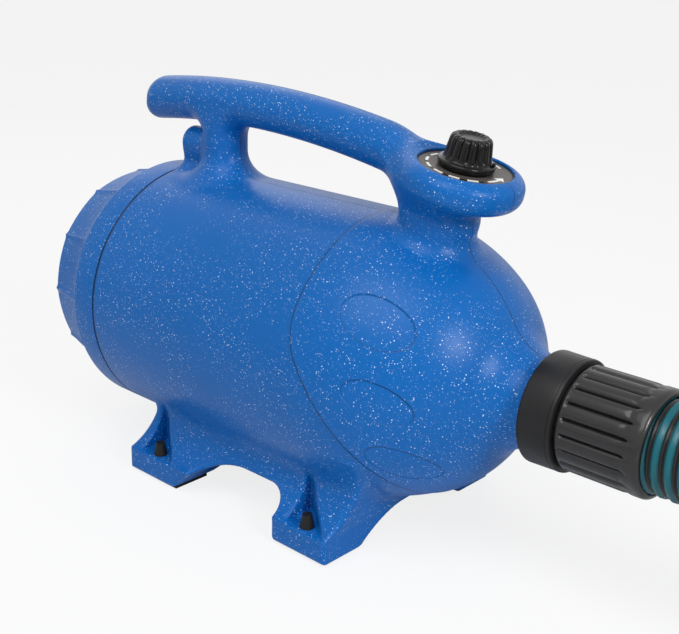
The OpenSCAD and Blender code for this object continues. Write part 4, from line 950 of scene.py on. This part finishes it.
def cuff_form():
    """A cuff with finger ribs, turned about X: its shoulder is at X 0, with the socket in front of it."""
    tail = rounded_path([(-19.8, 18.4, 0), (-19.8, 21.2, 0.6), (0, 21.2, 0.2), (0, 26.2, 0.8), (1.6, 26.4, 0.3),
                         (2.2, CREST_R, 0.9), (3.0, CREST_R, 0)], 3)
    ribbed = [(x, CREST_R) for x in (3.6, 4.4, 5.4, 7, 10, 14, 18, 22, 26, 29, *range(31, 42), 42.5, 44)]
    lip = [(44 + LIP_R * sin(a), 25 + LIP_R * cos(a)) for a in np.radians([18, 36, 54, 72, 90])]
    socket = rounded_path([(46.8, 24.62, 0), (33.2, 24.6, 0.4), (33.2, 20.0, 0.4), (0, 20.0, 0.4), (-1, 18.4, 0.4),
                           (-19.8, 18.4, 0)], 3)
    rings = [*tail, *ribbed, *lip, *socket]
    first, last = len(tail), len(tail) + len(ribbed)

    def radius_at(k, angles):
        x, r = rings[k]
        if not first <= k < last:
            return r
        to_crown = np.abs((np.degrees(angles) * CUFF_LOBES / 360) % 1 - 0.5) * 2
        to_groove = (1 - to_crown) * pi * CREST_R / CUFF_LOBES
        depth = (LOBE_DEPTH * (1 - np.sqrt(1 - LOBE_SQUASH * to_crown ** 2))
                 + GROOVE_DEPTH * np.exp(-(to_groove / GROOVE_HALF) ** 2))
        end = 36.5 + 3.5 * to_crown ** 2
        fade = np.clip((x - 2.8) / 1.6, 0, 1) * eased(np.clip((end - x) / 2.2, 0, 1))
        return r - fade * depth - TIP_DEPTH * np.exp(-((x - end) / 1.5) ** 2)

    return turned_rings(rings, CUFF_LOBES * 14, radius_at)


class PET_DRYER_OT_hose(bpy.types.Operator):
    """Makes the hose with its helical band, and the two ribbed cuffs"""
    bl_idname = "pet_dryer.hose"
    bl_label = "Hose"

    def execute(self, context):
        opts = settings().hose
        band = plain_plastic("hose_band", tuple(opts.band_colour), 0.24, 900, 0.02, Specular_IOR_Level=0.3)
        rib = plain_plastic("hose_rib", (0.012, 0.011, 0.011), 0.22, 900, 0.02, Specular_IOR_Level=0.25)
        route = smooth_route(hose_route(), 12)
        points, faces, kinds, length = hose_form(route, opts.pitch / MM, opts.band_share)
        hose = make_piece("hose_tube", points, faces, "hose_line", [band, rib], ("hose", "hose_coil"),
                          face_finish=kinds)
        rubber = plain_plastic("cuff_rubber", (0.012, 0.012, 0.013), 0.22, 1400, 0.02, Specular_IOR_Level=0.42)
        points, faces = cuff_form()
        near, far = points + np.array([OUTLET, 0, AXIS]), points * np.array([-1, 1, 1]) + np.array(FAR_CUFF)
        near_cuff, far_cuff = (
            sharpen(make_piece(node + "_rubber", at, sides, "hose_line", [rubber], (node,)), 42)
            for node, at, sides in (("hose_cuff", near, faces), ("nozzle_cuff", far, flipped(faces))))
        paint(plain_plastic("nozzle_plastic", (0.014, 0.014, 0.015), 0.34), "nozzle")
        length * MM
        return {"FINISHED"}


# Ring of the knob's profile where its top starts, its pointer's turn in degrees, and its gap over the plate
KNOB_TOP, KNOB_TURN, KNOB_LIFT = 17, 22, 0.4
SKIRT_TOP, SKIRT_R = 5.2, 12.85


def knob_form(lobes):
    """The lobed knob with its pointer bead, turned about X, which is the shaft's axis here."""
    profile = [(0.0, 14.2), (0.5, 14.5), (0.6, 15.0), (1.1, 15.3), (3.1, 15.3), (3.7, 15.05), (4.0, 14.5),
               (4.1, 13.6), (4.5, 13.1), (SKIRT_TOP, SKIRT_R)]
    profile += [(z, SKIRT_R - 1.4 * (z - SKIRT_TOP) / 9.2) for z in (6.6, 8, 9.6, 11.2, 12.8, 14.0)]
    profile += [(15.0, 11.2), (15.8, 10.8), (16.5, 10.2), (16.95, 9.4), (17.1, 8.6), (17.0, 7.8), (16.7, 7.0),
                (16.3, 6.2), (15.9, 5.2), (15.7, 4.0), (15.65, 2.0), (15.65, 0.02)]

    def radius_at(k, angles):
        z, r = profile[k]
        share = np.clip((z - 4.6) / 1.6, 0, 1) if k < KNOB_TOP else np.clip((r - 4.5) / 4, 0, 1)
        return r - 1.3 * share * (1 - np.abs(np.cos(lobes / 2 * angles)) ** 0.6)

    bead, bead_faces = turned_rings([(3.2, 0.02), (4.2, 0.8), (4.9, 1.05), (5.5, 0.9), (5.9, 0.5), (6.0, 0.02)], 16)
    return join_meshes([turned_rings(profile, lobes * 12, radius_at), (bead + np.array([0, 14.2, 0]), bead_faces)])


def dial_finish(base):
    """Speckled plate with a rim darkened as painted shade from the gap round it, and a dark arc round the knob, for
    the knob's range.
    """
    plate = Finish("dial_face", base, 0.3, Specular_IOR_Level=0.15)
    centre = tuple(HEAD * MM)
    ahead_by = plate.along(centre, tuple(HEAD_AHEAD)) * 1000
    side_by = plate.along(centre, (0, 1, 0)) * 1000
    out = (ahead_by * ahead_by + side_by * side_by).root()
    angle = side_by.maths("ARCTAN2", side_by, ahead_by) * (180 / pi)
    arc = (out - 20.5).line(1.1).rise(0.1, 0.4) * (angle > -160) * (angle < -25)
    speck = plate.noise(900, 2.0, 0.6)
    colour = plate.blend(speck, tint(base, 0.75), tint(base, 1.3))
    # The rim's darkening is painted shade from the gap round the plate
    plate.put("Base Color", plate.blend(out.rise(24.4, 24.8).most(arc), colour, (0.004, 0.004, 0.004)))
    plate.put("Roughness", 0.3 + (speck - 0.5) * 0.2)
    plate.bump(speck * 0.02)
    return plate


class PET_DRYER_OT_controls(bpy.types.Operator):
    """Makes the knob and the dial plate"""
    bl_idname = "pet_dryer.controls"
    bl_label = "Controls"

    def execute(self, context):
        opts = settings().controls
        gloss = plain_plastic("knob_plastic", (0.006, 0.006, 0.006), 0.1, 700, 0.01, Specular_IOR_Level=0.2)
        points, faces = knob_form(opts.knob_lobes)
        turn = radians(KNOB_TURN)
        ahead = cos(turn) * HEAD_AHEAD + sin(turn) * np.array([0.0, 1.0, 0.0])
        across = np.cross(HEAD_UP, ahead)
        up = points[:, :1] + KNOB_LIFT
        placed = HEAD + up * HEAD_UP + points[:, 1:2] * ahead + points[:, 2:3] * across
        sharpen(make_piece("knob_moulding", placed, faces, "knob", [gloss], ("speed_knob",)), 48)
        paint(dial_finish(tuple(opts.plate_colour)), "dial_plate")
        paint(plain_plastic("mark_paint", (0.78, 0.78, 0.75), 0.5), "dial_marks")
        paint(plain_plastic("control_body", (0.16, 0.13, 0.05), 0.5), "potentiometer")
        paint(plain_metal("control_steel", (0.56, 0.56, 0.55), 0.3), "potentiometer_shaft", "potentiometer_nut")
        return {"FINISHED"}


class PET_DRYER_OT_fittings(bpy.types.Operator):
    """Gives the rubber feet, the cord gland and the housing screws their finishes"""
    bl_idname = "pet_dryer.fittings"
    bl_label = "Feet, gland and screws"

    def execute(self, context):
        paint(plain_plastic("foot_rubber", (0.009, 0.009, 0.009), 0.45, 1600, 0.03, Specular_IOR_Level=0.2),
              "rubber_feet")
        paint(plain_plastic("gland_rubber", (0.012, 0.012, 0.012), 0.5), "cord_gland")
        paint(plain_metal("screw_steel", (0.12, 0.12, 0.125), 0.35), "housing_screws")
        return {"FINISHED"}


class PET_DRYER_OT_inside(bpy.types.Operator):
    """Gives the fan, the motor and the speed board their finishes"""
    bl_idname = "pet_dryer.inside"
    bl_label = "Fan, motor and board"

    def execute(self, context):
        paint(plain_metal("spun_aluminium", (0.72, 0.73, 0.74), 0.32, stretch=(6, 1, 1)),
              "fan_shell", "impeller_first", "impeller_second", "stage_diffuser", "heat_sink", "fan_spacers")
        paint(plain_metal("cast_aluminium", (0.5, 0.51, 0.52), 0.55, 500, depth=0.03),
              "motor_base", "motor_bracket", "motor_frame")
        paint(plain_metal("ground_steel", (0.58, 0.58, 0.57), 0.25),
              "motor_shaft", "shaft_nut", "bearing_fan_end", "bearing_nose_end", "brush_springs")
        paint(plain_metal("laminations", (0.2, 0.2, 0.21), 0.5, 1800, stretch=(20, 1, 1), depth=0.03),
              "stator_core", "armature_core")
        paint(plain_metal("holder_brass", (0.6, 0.42, 0.16), 0.35), "brush_holders", "commutator")
        copper = Finish("wound_copper", (0.45, 0.13, 0.04), 0.3, 0.85)
        _, y, z = copper.parts()
        wires = abs(y.maths("SINE", (y + z) * 9000))
        copper.put("Base Color", copper.blend(wires, (0.16, 0.035, 0.01), (0.6, 0.2, 0.07)))
        copper.bump(wires * 0.25)
        paint(copper, "field_coils", "armature_windings")
        paint(plain_plastic("circuit_board", (0.01, 0.08, 0.03), 0.4), "speed_board")
        paint(plain_plastic("board_components", (0.16, 0.07, 0.02), 0.45), "board_parts")
        paint(plain_plastic("brush_carbon", (0.012, 0.012, 0.013), 0.6), "carbon_brushes")
        paint(plain_plastic("mount_rubber", (0.014, 0.014, 0.014), 0.7), "fan_gasket", "rear_cushion", "nose_mount")
        return {"FINISHED"}


class PetDryerSettings(bpy.types.PropertyGroup):
    housing: bpy.props.PointerProperty(type=HousingSettings, name="Housing", description="Housing and inlet cap")
    hose: bpy.props.PointerProperty(type=HoseSettings, name="Hose", description="Ribbed hose")
    controls: bpy.props.PointerProperty(type=ControlSettings, name="Controls", description="Knob and dial")
    stage: bpy.props.PointerProperty(type=StageSettings, name="Stage", description="Camera, floor and light")


OPERATORS = (PET_DRYER_OT_stage, PET_DRYER_OT_hose, PET_DRYER_OT_housing, PET_DRYER_OT_cap, PET_DRYER_OT_outlet,
             PET_DRYER_OT_controls, PET_DRYER_OT_fittings, PET_DRYER_OT_inside)


class PET_DRYER_PT_panel(bpy.types.Panel):
    """Lists the dryer's pieces and their sizes"""
    bl_idname = "PET_DRYER_PT_panel"
    bl_label = "Pet dryer"
    bl_space_type = "VIEW_3D"
    bl_region_type = "UI"
    bl_category = "Pet dryer"

    def draw(self, context):
        opts = settings()
        for name in ("housing", "hose", "controls", "stage"):
            box = self.layout.box()
            box.label(text=name.capitalize())
            for prop in getattr(opts, name).bl_rna.properties:
                if prop.identifier not in ("rna_type", "name"):
                    box.prop(getattr(opts, name), prop.identifier)
        for operator in OPERATORS:
            self.layout.operator(operator.bl_idname)


CLASSES = (HousingSettings, HoseSettings, ControlSettings, StageSettings, PetDryerSettings, *OPERATORS,
           PET_DRYER_PT_panel)


def register():
    for made in CLASSES:
        bpy.utils.register_class(made)
    bpy.types.Scene.pet_dryer = bpy.props.PointerProperty(type=PetDryerSettings)


def unregister():
    del bpy.types.Scene.pet_dryer
    for made in reversed(CLASSES):
        bpy.utils.unregister_class(made)


def main():
    register()
    for operator in OPERATORS:
        getattr(bpy.ops.pet_dryer, operator.bl_idname.split(".")[1])()


if __name__ == "__main__":
    main()
